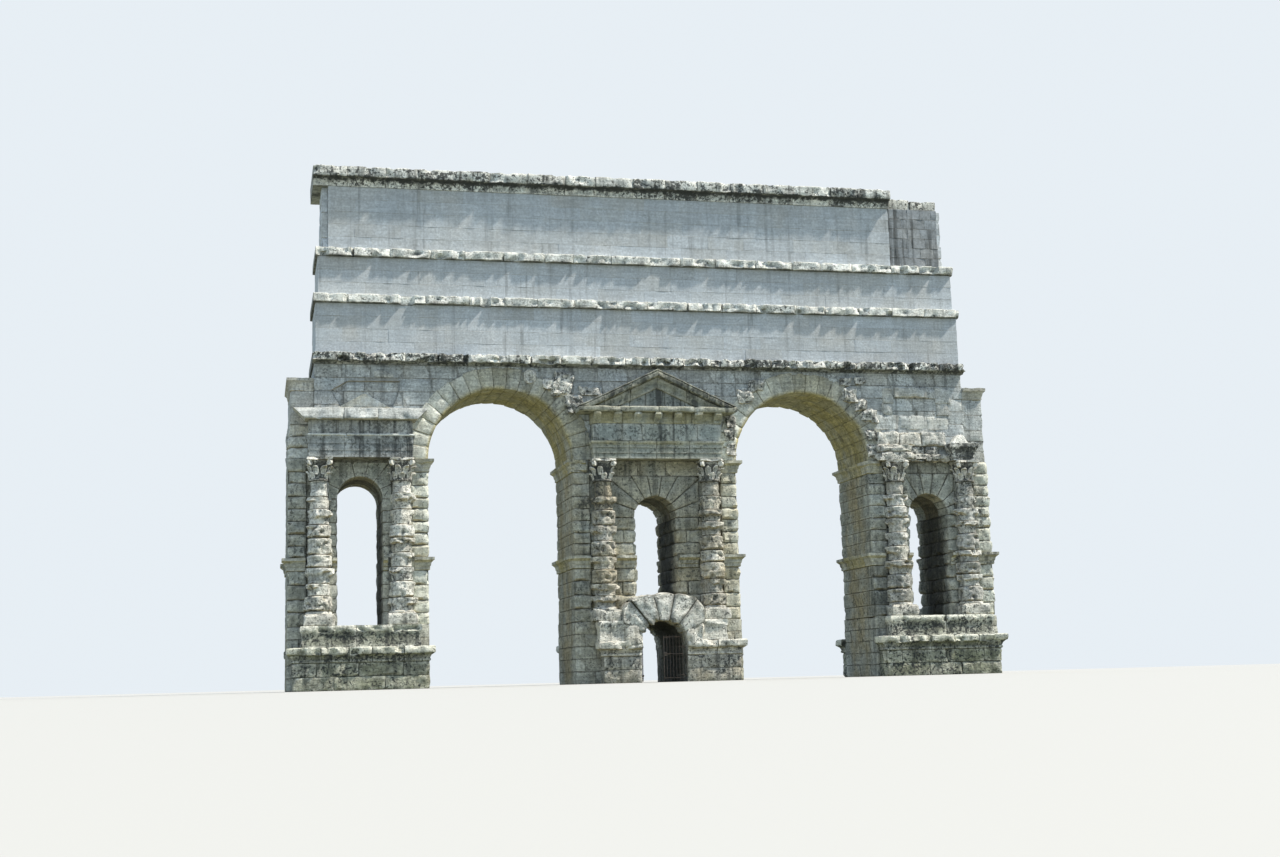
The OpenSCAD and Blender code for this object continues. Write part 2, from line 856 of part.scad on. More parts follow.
// The right one as it stands: a block over each column, a stub between them and a rough course on top.
module ruined_entablature() {
    left_end_x = side_x - side_col_x + ruin_block_w / 2;
    right_x = side_x + side_col_x - ruin_shift;
    right_end_x = right_x - ruin_moulded_w / 2;
    course_x = side_x - side_col_x - ruin_block_w / 2 + ruin_shift;
    before_wall() {
        box(left_end_x - ruin_block_w, left_end_x, -entab_y, 0, spring_z, spring_z + ruin_block_h);
        translate([right_x, 0, spring_z])
            moulded_block(ruin_moulded_w, 2 * (entab_y - fascia_out),
                          architrave_profile(centre_architrave_h, fascia_out));
        box(left_end_x, right_end_x, -wall_y - ruin_stub_out, 0, spring_z, spring_z + ruin_stub_h);
        box(left_end_x, course_x + ruin_course_w, -wall_y - ruin_wall_out, 0,
            spring_z + ruin_stub_h, spring_z + ruin_block_h);
        box(course_x, course_x + ruin_course_w, -wall_y - ruin_course_out, 0,
            spring_z + ruin_block_h, spring_z + ruin_block_h + ruin_course_h);
    }
}

module front_left_entablature() {
    color(stone_dark) left_side() side_entablature();
}

module front_right_entablature() {
    color(stone) ruined_entablature();
}

module back_left_entablature() {
    color(stone_dark) back_side() left_side() side_entablature();
}

module back_right_entablature() {
    color(stone_dark) back_side() side_entablature();
}

// The centre entablature: architrave, frieze, a course with brackets and the flat cornice.
module centre_entablature() {
    bracket_gap = (2 * centre_entab_w - bracket_w) / (brackets - 1);
    course_w = centre_entab_w + bracket_course_out;
    before_wall() {
        translate([0, 0, spring_z])
            moulded_block(2 * centre_entab_w, 2 * entab_y,
                          architrave_profile(centre_architrave_h, fascia_out));
        box(-centre_entab_w, centre_entab_w, -entab_y, 0, spring_z + centre_architrave_h, bracket_course_z);
        box(-course_w, course_w, -entab_y - bracket_course_out, 0, bracket_course_z, cornice_slab_z);
        for (i = [0:brackets - 1])
            translate([-centre_entab_w + i * bracket_gap, 0, 0])
                box(0, bracket_w, -entab_y - bracket_out, 0,
                    cornice_slab_z - bracket_course_h * 0.55, cornice_slab_z);
        box(-pediment_half_w, pediment_half_w, -entab_y - cornice_slab_out, 0, cornice_slab_z, pediment_z);
    }
}

module front_centre_entablature() {
    color(stone) centre_entablature();
}

module back_centre_entablature() {
    color(stone) back_side() centre_entablature();
}

// The pediment's outline, lowered by drop along the whole of its slopes.
module gable(drop) {
    half_w = pediment_half_w * (1 - drop / pediment_h);
    polygon([[-half_w, pediment_z], [half_w, pediment_z], [0, pediment_z + pediment_h - drop]]);
}

// The pediment: raking cornice, bed moulding inside it, and the tympanum at the frieze's plane.
module pediment() {
    before_wall() {
        upright(entab_y) gable(0);
        difference() {
            upright(entab_y + tympanum_in) gable(0);
            upright(far) gable(2 * raking_h);
        }
        difference() {
            upright(entab_y + cornice_slab_out) gable(0);
            upright(far) gable(raking_h);
        }
    }
}

module front_pediment() {
    color(stone) pediment();
}

module back_pediment() {
    color(stone) back_side() pediment();
}

// A gate leaf from its hinge axis along X: bars, rails, lock and two eyes round the pins.
module gate_leaf() {
    bar_gap = (leaf_w_gate - bar_d / 2 - stile_x) / gate_bars;
    rail_end_x = leaf_w_gate - bar_d / 2;
    for (i = [0:gate_bars])
        translate([stile_x + i * bar_gap, 0, foot_gap]) cylinder(h = gate_h - foot_gap, d = bar_d);
    for (z = [low_rail_z, lock_rail_z, gate_h - head_rail_drop])
        box(stile_x, rail_end_x, -rail_t / 2, rail_t / 2, z, z + rail_h);
    box(leaf_w_gate - lock_w, rail_end_x, -lock_t / 2, lock_t / 2,
        lock_rail_z + (rail_h - lock_h) / 2, lock_rail_z + (rail_h + lock_h) / 2);
    for (z = pin_zs)
        difference() {
            translate([0, 0, z]) {
                cylinder(h = eye_h, d = eye_d);
                box(0, stile_x, -rail_t / 2, rail_t / 2, 0, eye_h);
            }
            translate([0, 0, z - eps]) cylinder(h = eye_h + 2 * eps, d = pin_d + 2 * eye_clear);
        }
}

// Two pins on brackets that are let into the jamb, on the hinge axis.
module hinge_pins() {
    for (z = pin_zs)
        translate([0, 0, z - eye_clear]) {
            box(-hinge_jamb, pin_d / 2, -pin_d / 2, pin_d / 2, -bracket_plate_h, 0);
            cylinder(h = eye_h + 2 * eye_clear, d = pin_d);
        }
}

module gate_hinge_pins() {
    color(iron) {
        translate([-hinge_x, -gate_y, 0]) hinge_pins();
        translate([hinge_x, -gate_y, 0]) left_side() hinge_pins();
    }
}

// The left leaf stands open against its jamb, the right one is shut.
module left_gate_leaf() {
    color(iron) translate([-hinge_x, -gate_y, 0]) rotate([0, 0, 90]) gate_leaf();
}

module right_gate_leaf() {
    color(iron) translate([hinge_x, -gate_y, 0]) left_side() gate_leaf();
}

left_pier();
centre_pier();
right_pier();
left_pier_imposts();
centre_pier_imposts();
right_pier_imposts();
spandrel_wall();
left_arch_ring();
right_arch_ring();
left_wing();
right_wing();
main_cornice();
attic_lower_register();
lower_string_course();
attic_middle_register();
upper_string_course();
attic_upper_register();
top_cornice();
broken_corner_blocks();
front_left_podium();
front_centre_podium();
front_right_podium();
front_left_columns();
front_centre_columns();
front_right_columns();
front_left_entablature();
front_centre_entablature();
front_right_entablature();
front_pediment();
back_left_podium();
back_centre_podium();
back_right_podium();
back_left_columns();
back_centre_columns();
back_right_columns();
back_left_entablature();
back_centre_entablature();
back_right_entablature();
back_pediment();
front_low_arch_ring();
back_low_arch_ring();
gate_hinge_pins();
left_gate_leaf();
right_gate_leaf();
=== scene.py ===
"""The double-arched travertine gate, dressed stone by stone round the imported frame. Metres, Z up, front faces -Y."""

import math
import random
from collections import namedtuple

import bmesh
import bpy
from mathutils import Matrix, Vector, noise


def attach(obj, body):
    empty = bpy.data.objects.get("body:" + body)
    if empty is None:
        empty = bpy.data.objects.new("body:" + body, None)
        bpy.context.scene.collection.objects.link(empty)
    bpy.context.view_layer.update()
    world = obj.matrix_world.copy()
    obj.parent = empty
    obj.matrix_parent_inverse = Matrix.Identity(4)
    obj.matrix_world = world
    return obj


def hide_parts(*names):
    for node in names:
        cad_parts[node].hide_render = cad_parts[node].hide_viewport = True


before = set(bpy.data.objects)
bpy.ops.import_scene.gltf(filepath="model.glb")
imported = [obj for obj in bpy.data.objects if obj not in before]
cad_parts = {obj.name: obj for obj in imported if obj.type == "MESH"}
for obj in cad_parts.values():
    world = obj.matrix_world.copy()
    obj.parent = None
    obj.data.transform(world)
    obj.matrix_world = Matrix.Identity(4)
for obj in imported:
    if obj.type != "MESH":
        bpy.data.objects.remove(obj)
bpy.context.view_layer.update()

# ---------------------------------------------------------------- sizes, in metres, as in the part's source
CENTRE_HALF = 3.80
ARCH_R, ARCH_X = 3.175, 6.975
SIDE_IN, SIDE_OUT, SIDE_X = 10.15, 16.13, 13.08
UPPER_HALF, WING_X, WING_Y = 15.05, 16.05, 1.9
STRIP = 0.78
WALL_Y, FACE_Y, PLINTH_Y, SOFFIT_Y = 2.0, 1.85, 2.10, 0.75
LEDGE_Z, COURSE_Z, PODIUM_Z = 1.15, 1.80, 2.70
LOW_IMPOST_Z, UPPER_WALL_Z, HIGH_IMPOST_Z = 5.04, 5.60, 9.29
IMPOST_H, IMPOST_OUT = 0.56, 0.23
SPRING_Z, CORNICE_Z = 9.85, 14.02
LOWER_REG_Z, LOWER_STRING_Z = 14.48, 16.75
MIDDLE_REG_Z, UPPER_STRING_Z = 17.15, 18.88
UPPER_REG_Z, TOP_CORNICE_Z = 19.28, 22.15
LOST_X = 11.97
WINDOW_R, SIDE_RING, CENTRE_RING = 0.97, 1.33, 2.06
VOUSSOIRS, RING_REACH = 19, 4.08
RING_BACK = RING_REACH - 0.05  # the radius to which the wall behind a great ring is cut
COL_Y, COL_R, SIDE_COL, CENTRE_COL, DRUMS = 2.20, 0.44, 1.74, 2.47, 9
COL_BASE_H, CAPITAL_H = 0.60, 1.0
ENTAB_Y, ENTAB_DEEP = 2.68, 0.68
SIDE_ENTAB, CENTRE_ENTAB = 2.20, 2.93
PEDIMENT_Z, PEDIMENT_HALF, PEDIMENT_TOP = 12.15, 3.62, 13.84
FRONT_BASE_LEFT = 2.70  # how far the centre podium's base reaches to the left on the front
LOW_R, LOW_SPRING_Z = 1.03, 1.67

# How a stone is worked: cell of its net, width of its worn arris, stand-out, boss, drafted margin,
# roughness, and how far its edges are broken.
Finish = namedtuple("Finish", "cell arris out boss draft rough chips")
SMOOTH = Finish(0.42, 0.006, (0.0, 0.006), 0.0, 0.1, 0.004, 0.012)
PLAIN = Finish(0.24, 0.012, (0.0, 0.015), 0.008, 0.08, 0.016, 0.035)
BOSSED = Finish(0.12, 0.022, (0.0, 0.05), 0.050, 0.08, 0.050, 0.09)
JAMB = Finish(0.22, 0.014, (0.0, 0.02), 0.02, 0.10, 0.024, 0.05)
RUGGED = Finish(0.10, 0.030, (0.0, 0.06), 0.060, 0.10, 0.065, 0.10)
COURSE = Finish(0.12, 0.014, (0.0, 0.02), 0.008, 0.05, 0.030, 0.09)
SOFFIT = Finish(0.26, 0.010, (0.0, 0.008), 0.0, 0.1, 0.010, 0.02)

# Foot, head, courses and finish of each storey of a pier's strips.
STOREYS = [(PODIUM_Z, LOW_IMPOST_Z, 4, RUGGED), (LOW_IMPOST_Z, UPPER_WALL_Z, 1, PLAIN),
           (UPPER_WALL_Z, HIGH_IMPOST_Z, 7, BOSSED), (HIGH_IMPOST_Z, SPRING_Z, 1, BOSSED)]
# Which ends of a moulding return to the wall.
NEITHER, START, END, BOTH = (False, False), (True, False), (False, True), (True, True)
# Tone, crust and warmth deep inside the openings: partly stain and soot, partly painted shade, warmer in the great
# arches and darkest in the windows and the low passage.
STAINED_AND_SHADED = (0.62, 0.36, 0.75)
BLACKENED_AND_SHADED = (-0.30, 0.55, 0.35)
SEAM = 0.16  # how far from a joint its dirt reaches


# ---------------------------------------------------------------- stones
def clamp(t):
    return min(1.0, max(0.0, t))


def ease(t):
    """0 to 1 on a smooth curve."""
    t = clamp(t)
    return t * t * (3 - 2 * t)


def lumps(point, size, salt=0.0):
    """Steady noise, -1 to 1, with lumps of one size."""
    return noise.noise(Vector((point[0] / size + salt * 7.31, point[1] / size - salt * 3.17,
                               point[2] / size + salt * 1.73)))


def elsewhere(co, salt):
    """The same point for each stone in a noise of its own."""
    return co + Vector((salt * 3.7, salt * 1.9, salt * 2.3))


def turned(degrees, axis):
    """A turn about an axis."""
    return Matrix.Rotation(math.radians(degrees), 4, axis)


def box(size):
    """A plain block about the origin."""
    block = bmesh.new()
    bmesh.ops.create_cube(block, size=1.0)
    bmesh.ops.scale(block, vec=size, verts=block.verts[:])
    return block


def disc(radius, depth, segments=14):
    """A short cylinder about the origin, upright."""
    block = bmesh.new()
    bmesh.ops.create_cone(block, cap_ends=True, segments=segments, radius1=radius, radius2=radius, depth=depth)
    return block


def bevel(block, edges, width, segments, clamped=False):
    bmesh.ops.bevel(block, geom=edges, offset=width, offset_type="OFFSET", segments=segments, profile=0.5,
                    affect="EDGES", clamp_overlap=clamped, material=-1)


def softened(block, width, segments=2):
    """Rounds the hard edges of a small piece."""
    hard = [e for e in block.edges if e.is_manifold and e.calc_face_angle(0) > 1.2]
    bevel(block, hard, width, segments)
    return block


def place(stone, spot):
    """Moves a stone by a matrix, or to a point."""
    matrix = Matrix.Translation(spot) if isinstance(spot, tuple) else spot
    for v in stone.verts:
        v.co = matrix @ v.co


class Stonework:
    """One finished piece: its stones, and each stone's tone, crust and warmth and its seams."""

    def __init__(self, name, salt, flip_x=False, flip_y=False):
        self.name = name
        self.body = bmesh.new()
        self.luck = random.Random(salt)
        self.flip = (flip_x, flip_y)

    def about(self, middle, spread):
        return self.luck.uniform(middle - spread, middle + spread)

    def faces(self):
        """Front and back in turn, each for what is laid meanwhile."""
        kept = self.flip
        for back in (False, True):
            self.flip = (kept[0], kept[1] != back)
            yield back
        self.flip = kept

    def lay(self, stone, tone=0.5, crust=0.3, warm=0.2, deep=None, where=None):
        look = stone.verts.layers.float_color.new("stone")
        seam = stone.verts.layers.float.get("seam")
        for v in stone.verts:
            for axis in (0, 1):
                if self.flip[axis]:
                    v.co[axis] = -v.co[axis]
            here = Vector((tone, crust, warm))
            # Without where, deep is reached toward the middle of the wall's thickness, as in the reveals of the
            # openings, where it is partly painted shade.
            if deep:
                inside = where(v.co) if where else ease((1.7 + 0.5 * lumps(v.co, 0.8) - abs(v.co.y)) / 0.9)
                here = here.lerp(Vector(deep), inside)
            v[look] = (*here, v[seam] if seam else 1.0)
        for layer in stone.verts.layers.float.values():
            stone.verts.layers.float.remove(layer)
        if self.flip[0] != self.flip[1]:
            bmesh.ops.reverse_faces(stone, faces=stone.faces[:])
        loose = bpy.data.meshes.new("stone")
        stone.to_mesh(loose)
        stone.free()
        self.body.from_mesh(loose)
        bpy.data.meshes.remove(loose)

    def finish(self, material, *nodes, slot="stone", body="gate"):
        mesh = bpy.data.meshes.new(self.name)
        self.body.to_mesh(mesh)
        self.body.free()
        mesh.materials.append(material)
        mesh.shade_smooth()
        mesh.set_sharp_from_angle(angle=math.radians(35))
        piece = bpy.data.objects.new(self.name, mesh)
        bpy.context.scene.collection.objects.link(piece)
        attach(piece, body)
        if nodes:
            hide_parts(*nodes)


def sides_of(co, half):
    """The planes of its box that a corner lies on, as (axis, side)."""
    return {(a, s) for a in (0, 1, 2) for s in (-1, 1) if abs(co[a] - s * half[a]) < 1e-5}


def planes_of(names):
    """Sides such as "-y +z" as (axis, side)."""
    return {("xyz".index(n[1]), 1 if n[0] == "+" else -1) for n in names.split()}


def cut_block(size, outer, finish, salt, out=0.0, flush=""):
    """A squared block about the origin; its outer faces, such as "-y +z", carry cells, worn arrises and bosses.
    Flush faces stay nearly flat."""
    half = [s / 2 for s in size]
    shown, level = planes_of(outer), planes_of(flush)
    stone = box(size)
    for axis in (0, 1, 2):
        cuts = round(size[axis] / finish.cell) - 1
        if cuts > 0:
            planes = {v: sides_of(v.co, half) for v in stone.verts}
            along = [e for e in stone.edges if planes[e.verts[0]] & planes[e.verts[1]] & shown
                     and abs(e.verts[0].co[axis] - e.verts[1].co[axis]) > 1e-4]
            bmesh.ops.subdivide_edges(stone, edges=along, cuts=cuts, use_grid_fill=True)
    planes = {v: sides_of(v.co, half) for v in stone.verts}
    shared = [(e, planes[e.verts[0]] & planes[e.verts[1]]) for e in stone.edges]
    bevel(stone, [e for e, common in shared if len(common) > 1 and common & shown], finish.arris, 1, True)
    seam = stone.verts.layers.float.new("seam")
    for v in stone.verts:
        push = Vector((0, 0, 0))
        near = 0.0
        for axis, side in shown:
            if half[axis] - side * v.co[axis] > 1.5 * finish.arris:
                continue
            joint = corner = 9.0
            for other, s in [(other, s) for other in (0, 1, 2) if other != axis for s in (-1, 1)]:
                away = half[other] - s * v.co[other]
                if (other, s) in shown:
                    corner = min(corner, away)
                else:
                    joint = min(joint, away)
            here = elsewhere(v.co, salt)
            proud = 0.0 if (axis, side) in level else 1.0
            swell = ease(joint / finish.draft) * (0.55 + 0.45 * ease(corner / 0.12))
            lift = proud * (out + finish.boss * swell * (0.75 + 0.9 * lumps(here, 0.6)))
            rough = finish.rough * (lumps(here, 0.42) + 0.75 * lumps(here, 0.17)) * (0.35 + 0.65 * ease(joint / 0.08))
            rough += 0.3 * finish.rough * lumps(here, 0.1, 6.0) if finish.cell < 0.13 else 0.0
            broken = finish.chips * max(0.0, lumps(here, 0.33, 2.0) + 0.12) * (1 - ease(joint / 0.12)) * 1.6
            broken += finish.chips * max(0.0, lumps(here, 0.5, 4.0) + 0.2) * (1 - ease(corner / 0.14)) * 1.8
            push[axis] += side * (lift + (rough - broken) * (0.25 + 0.75 * proud))
            near = max(near, min(1.0, joint / SEAM))
        v[seam] = near
        v.co += push
    return stone


def joints(start, end, length, shifted, luck):
    """Joint places along a course; a shifted course starts with a short stone."""
    count = max(1, round((end - start) / length))
    step = (end - start) / count
    marks = [start]
    first = 0.5 if shifted and count > 1 else 1.0
    place = start + step * first
    while place < end - 0.3 * step:
        marks.append(place + step * luck.uniform(-0.12, 0.12))
        place += step
    marks.append(end)
    return marks


def uneven_beds(luck, foot, head, count, uneven):
    """Foot and height of each of some uneven courses."""
    beds = [0.0]
    for _ in range(count):
        beds.append(beds[-1] + luck.uniform(1 - uneven, 1 + uneven))
    return [(foot + (head - foot) * low / beds[-1], (head - foot) * (top - low) / beds[-1])
            for low, top in zip(beds, beds[1:])]


def lay_wall(work, xs, ys, zs, courses, length, depths, outer, finish, tone=(0.5, 0.2), crust=0.3, warm=0.2,
             fit=None, flush="", uneven=0.0, deep=None):
    """Courses of blocks that fill a box; only blocks with a face on one of its outer sides are laid. ys may be the
    half depth. Stones within its depth may have a tone, crust and warmth of their own."""
    luck = work.luck
    y0, y1 = ys if isinstance(ys, tuple) else (-ys, ys)
    for row, (z0, height) in enumerate(uneven_beds(luck, *zs, courses, uneven)):
        marks = joints(xs[0], xs[1], length, row % 2 == 1, luck)
        for i in range(len(marks) - 1):
            shift = 0.12 * (y1 - y0) * (1 if (row + i) % 2 else -1)
            cuts = [y0, *(y0 + (y1 - y0) * k / depths + shift for k in range(1, depths)), y1]
            for k in range(depths):
                ends = {"-x": i == 0, "+x": i == len(marks) - 2, "-y": k == 0, "+y": k == depths - 1,
                        "-z": row == 0, "+z": row == courses - 1}
                sides = " ".join(side for side, at_end in ends.items() if at_end and side in outer)
                if not sides:
                    continue
                size = (marks[i + 1] - marks[i], cuts[k + 1] - cuts[k], height)
                middle = Vector(((marks[i] + marks[i + 1]) / 2, (cuts[k] + cuts[k + 1]) / 2, z0 + height / 2))
                worked = finish._replace(boss=finish.boss * luck.uniform(0.25, 1.5),
                                         rough=finish.rough * luck.uniform(0.7, 1.3))
                stone = cut_block(size, sides, worked, luck.uniform(0, 40), luck.uniform(*finish.out), flush)
                for v in stone.verts:
                    v.co += middle
                    if fit:
                        v.co = fit(v.co)
                work.lay(stone, work.about(*tone), clamp(crust + luck.uniform(-0.15, 0.15)),
                         clamp(warm + luck.uniform(-0.12, 0.12)), deep)


def lay_arch(work, middle_x, spring, inner_r, reach, stones, ys, outer, finish, tone=(0.5, 0.15), crust=0.3,
             warm=0.2, out=(0.0, 0.0), uneven=0.0, soffit_warm=None, sunlit_foot=0.0):
    """One ring of voussoirs over a half circle, from ys[0] to ys[1]; its soffit may be warmer than its face.
    The last argument makes the stones paler toward the ring's foot at the left, which faces the lamp: painted sunlight."""
    luck = work.luck
    soffit = (tone[0], crust, soffit_warm) if soffit_warm else None

    def under(co):
        return ease((inner_r + 0.12 - math.hypot(abs(co.x) - middle_x, co.z - spring)) / 0.1)

    step = math.pi / stones
    for i in range(stones):
        top = reach + luck.uniform(0, uneven)
        mean_r = (inner_r + top) / 2
        lift = luck.uniform(*out)
        size = (step * mean_r, ys[1] - ys[0], top - inner_r)
        stone = cut_block(size, outer, finish, luck.uniform(0, 40), 0.0, "-z")
        angle = math.pi - (i + 0.5) * step
        for v in stone.verts:
            if v.co.y and ("-y" if v.co.y < 0 else "+y") in outer:
                v.co.y += math.copysign(lift, v.co.y)
            a, r = angle - v.co.x / mean_r, mean_r + v.co.z
            v.co = Vector((middle_x + r * math.cos(a), (ys[0] + ys[1]) / 2 + v.co.y, spring + r * math.sin(a)))
        # Painted sunlight: paler, cleaner stones toward the left foot, which faces the lamp.
        pale = sunlit_foot * max(0.0, math.cos(angle) if work.flip[0] else -math.cos(angle))
        work.lay(stone, work.about(*tone) + pale, clamp(crust + luck.uniform(-0.12, 0.12) - 0.2 * pale),
                 warm * max(0.1, 1 - 1.3 * pale), soffit, under)


def lay_window_ring(work, x, crown, top, half, stones, tone, crust, warm, rough):
    """Flat-topped voussoirs over a window, standing out between open joints; rough 0 leaves them flush and fine."""
    spring = crown - WINDOW_R
    step = math.pi / stones
    mean_r = 1.35
    worked = Finish(0.13, 0.012 + 0.02 * rough, (0, 0), 0.03 * rough, 0.10, 0.010 + 0.012 * rough,
                    0.008 + 0.05 * rough)
    for i in range(stones):
        out = 0.03 + work.luck.uniform(-0.015, 0.025) * rough
        middle = math.pi - (i + 0.5) * step
        size = (step * mean_r - 0.004 - 0.005 * rough, FACE_Y - SOFFIT_Y, 1.0)
        stone = cut_block(size, "-y -z", worked, work.luck.uniform(0, 40), out, "-z")
        for v in stone.verts:
            a = middle - v.co.x / mean_r
            far = min(half / max(1e-6, abs(math.cos(a))), (top - spring) / max(1e-6, math.sin(a)))
            r = WINDOW_R + (v.co.z + 0.5) * (far - WINDOW_R)
            v.co = Vector((x + r * math.cos(a), -(FACE_Y + SOFFIT_Y) / 2 + v.co.y, spring + r * math.sin(a)))
        work.lay(stone, work.about(tone[0], tone[1] * rough), crust, warm)


# ---------------------------------------------------------------- mouldings
def finely(profile, most=0.13):
    """A profile's points with long stretches cut shorter."""
    points = [profile[0]]
    for a, b in zip(profile, profile[1:]):
        parts = max(1, math.ceil(math.dist(a, b) / most))
        points += [(a[0] + (b[0] - a[0]) * k / parts, a[1] + (b[1] - a[1]) * k / parts)
                   for k in range(1, parts + 1)]
    return points


def cornice_profile(h, s, lip):
    """Lip is the share of the height under the upright face."""
    return [(0, 0), (0.12 * s, 0), (0.16 * s, 0.3 * lip * h), (0.4 * s, 0.8 * lip * h), (0.45 * s, 0.92 * lip * h),
            (0.95 * s, lip * h), (s, (lip + 0.06) * h), (s, 0.95 * h), (0.92 * s, h), (-0.45, h)]


def impost_profile(h, s):
    return [(0, 0), (0.2 * s, 0.04 * h), (0.2 * s, 0.28 * h), (0.34 * s, 0.34 * h), (0.45 * s, 0.58 * h),
            (0.85 * s, 0.74 * h), (s, 0.78 * h), (s, h), (-0.1, h)]


def string_profile(h, s):
    return [(0, 0), (0.85 * s, 0.02 * h), (s, 0.10 * h), (s, 0.92 * h), (0.88 * s, h), (-0.25, h)]


def architrave_profile(h, s):
    return [(0, 0), (0, 0.3 * h), (0.25 * s, 0.3 * h), (0.25 * s, 0.62 * h), (0.5 * s, 0.62 * h),
            (0.5 * s, 0.82 * h), (s, 0.9 * h), (s, h), (-0.2, h)]


def worn_profile(h, s):
    return [(0, 0), (0.80 * s, 0.0), (0.97 * s, 0.06 * h), (s, 0.16 * h), (0.62 * s, 0.90 * h), (0.52 * s, h),
            (-0.2, h)]


def moulded_stone(profile, length, back, salt, flare=NEITHER, cell=0.16, wear=0.02, chips=0.06):
    """A moulded stone from x=0 to its length, facing -y, its back at y=back; a flared end returns the moulding."""
    front = finely(profile)
    stone = bmesh.new()
    stand_out = stone.verts.layers.float.new("out")
    seam = stone.verts.layers.float.new("seam")
    reach, top = max(p[0] for p in front), front[-1][1]
    face = [stone.verts.new((0, -p[0], p[1])) for p in front]
    rear = [stone.verts.new((0, back, p[1])) for p in (front if any(flare) else (front[0], front[-1]))]
    for corners in (face, rear if any(flare) else []):
        for v, p in zip(corners, front):
            v[stand_out] = p[0]
    if any(flare):
        caps = [stone.faces.new((face[i], face[i + 1], rear[i + 1], rear[i])) for i in range(len(front) - 1)]
    else:
        caps = [stone.faces.new(face + [rear[1], rear[0]])]
    steps = max(2, round(length / cell))
    for step in range(steps):
        grown = bmesh.ops.extrude_face_region(stone, geom=caps)["geom"]
        if step:
            bmesh.ops.delete(stone, geom=caps, context="FACES")
        caps = [g for g in grown if isinstance(g, bmesh.types.BMFace)]
        bmesh.ops.translate(stone, vec=(length / steps, 0, 0),
                            verts=[g for g in grown if isinstance(g, bmesh.types.BMVert)])
    bmesh.ops.recalc_face_normals(stone, faces=stone.faces[:])
    for v in stone.verts:
        shown = v.co.y < back - 1e-4
        joint = min(9.0 if flare[0] else v.co.x, 9.0 if flare[1] else length - v.co.x)
        if flare[0] and v.co.x < 1e-5:
            v.co.x -= v[stand_out]
        if flare[1] and v.co.x > length - 1e-5:
            v.co.x += v[stand_out]
        v[seam] = min(1.0, joint / SEAM) if shown else 0.0
        if not shown:
            continue
        here = elsewhere(v.co, salt)
        proud = max(0.0, v[stand_out] / reach) if reach else 0.0
        move = wear * (lumps(here, 0.45) + 0.6 * lumps(here, 0.16)) * (0.4 + 0.6 * proud)
        broken = max(0.0, lumps(here, 0.38, 3.0) - 0.02) * chips * 3.2 * proud
        broken += chips * 1.2 * max(0.0, lumps(here, 0.6, 5.0) + 0.35) * (1 - ease(joint / 0.14)) * (0.3 + proud)
        v.co.y += broken - move
        v.co.z += wear * 0.8 * lumps(here, 0.24, 7.0) * proud - broken * (0.35 if v.co.z > 0.6 * top else -0.1)
    return stone


def lay_run(work, profile, start, end, y, z, back, typical, facing=0.0, flare=NEITHER, cell=0.16, wear=0.02,
            chips=0.06, tone=(0.5, 0.15), crust=0.5, warm=0.3, fit=None, below=None, lowest=0.0, mixed=0.2):
    """A moulding from start to end along X at face y, in stones; facing turns it about the vertical first. Below is
    a height, and the tone, crust and warmth of what lies under it, down to the lowest height."""
    luck = work.luck

    def under(co):
        return ease((below[0] - co.z + 0.08 * lumps(co, 0.4)) / 0.08) * ease((co.z - lowest) / 0.04 + 1)

    marks = joints(start, end, typical, False, luck)
    turn = Matrix.Rotation(facing, 3, "Z")
    for i in range(len(marks) - 1):
        ends = (flare[0] and i == 0, flare[1] and i == len(marks) - 2)
        stone = moulded_stone(profile, marks[i + 1] - marks[i], back, luck.uniform(0, 40), ends, cell, wear, chips)
        drop = luck.uniform(-0.5, 0.5) * wear
        for v in stone.verts:
            v.co = turn @ (v.co + Vector((marks[i], y + drop, z)))
            if fit:
                v.co = fit(v.co)
        work.lay(stone, work.about(*tone), clamp(crust + luck.uniform(-mixed, mixed)), warm, below and below[1:],
                 under if below else None)


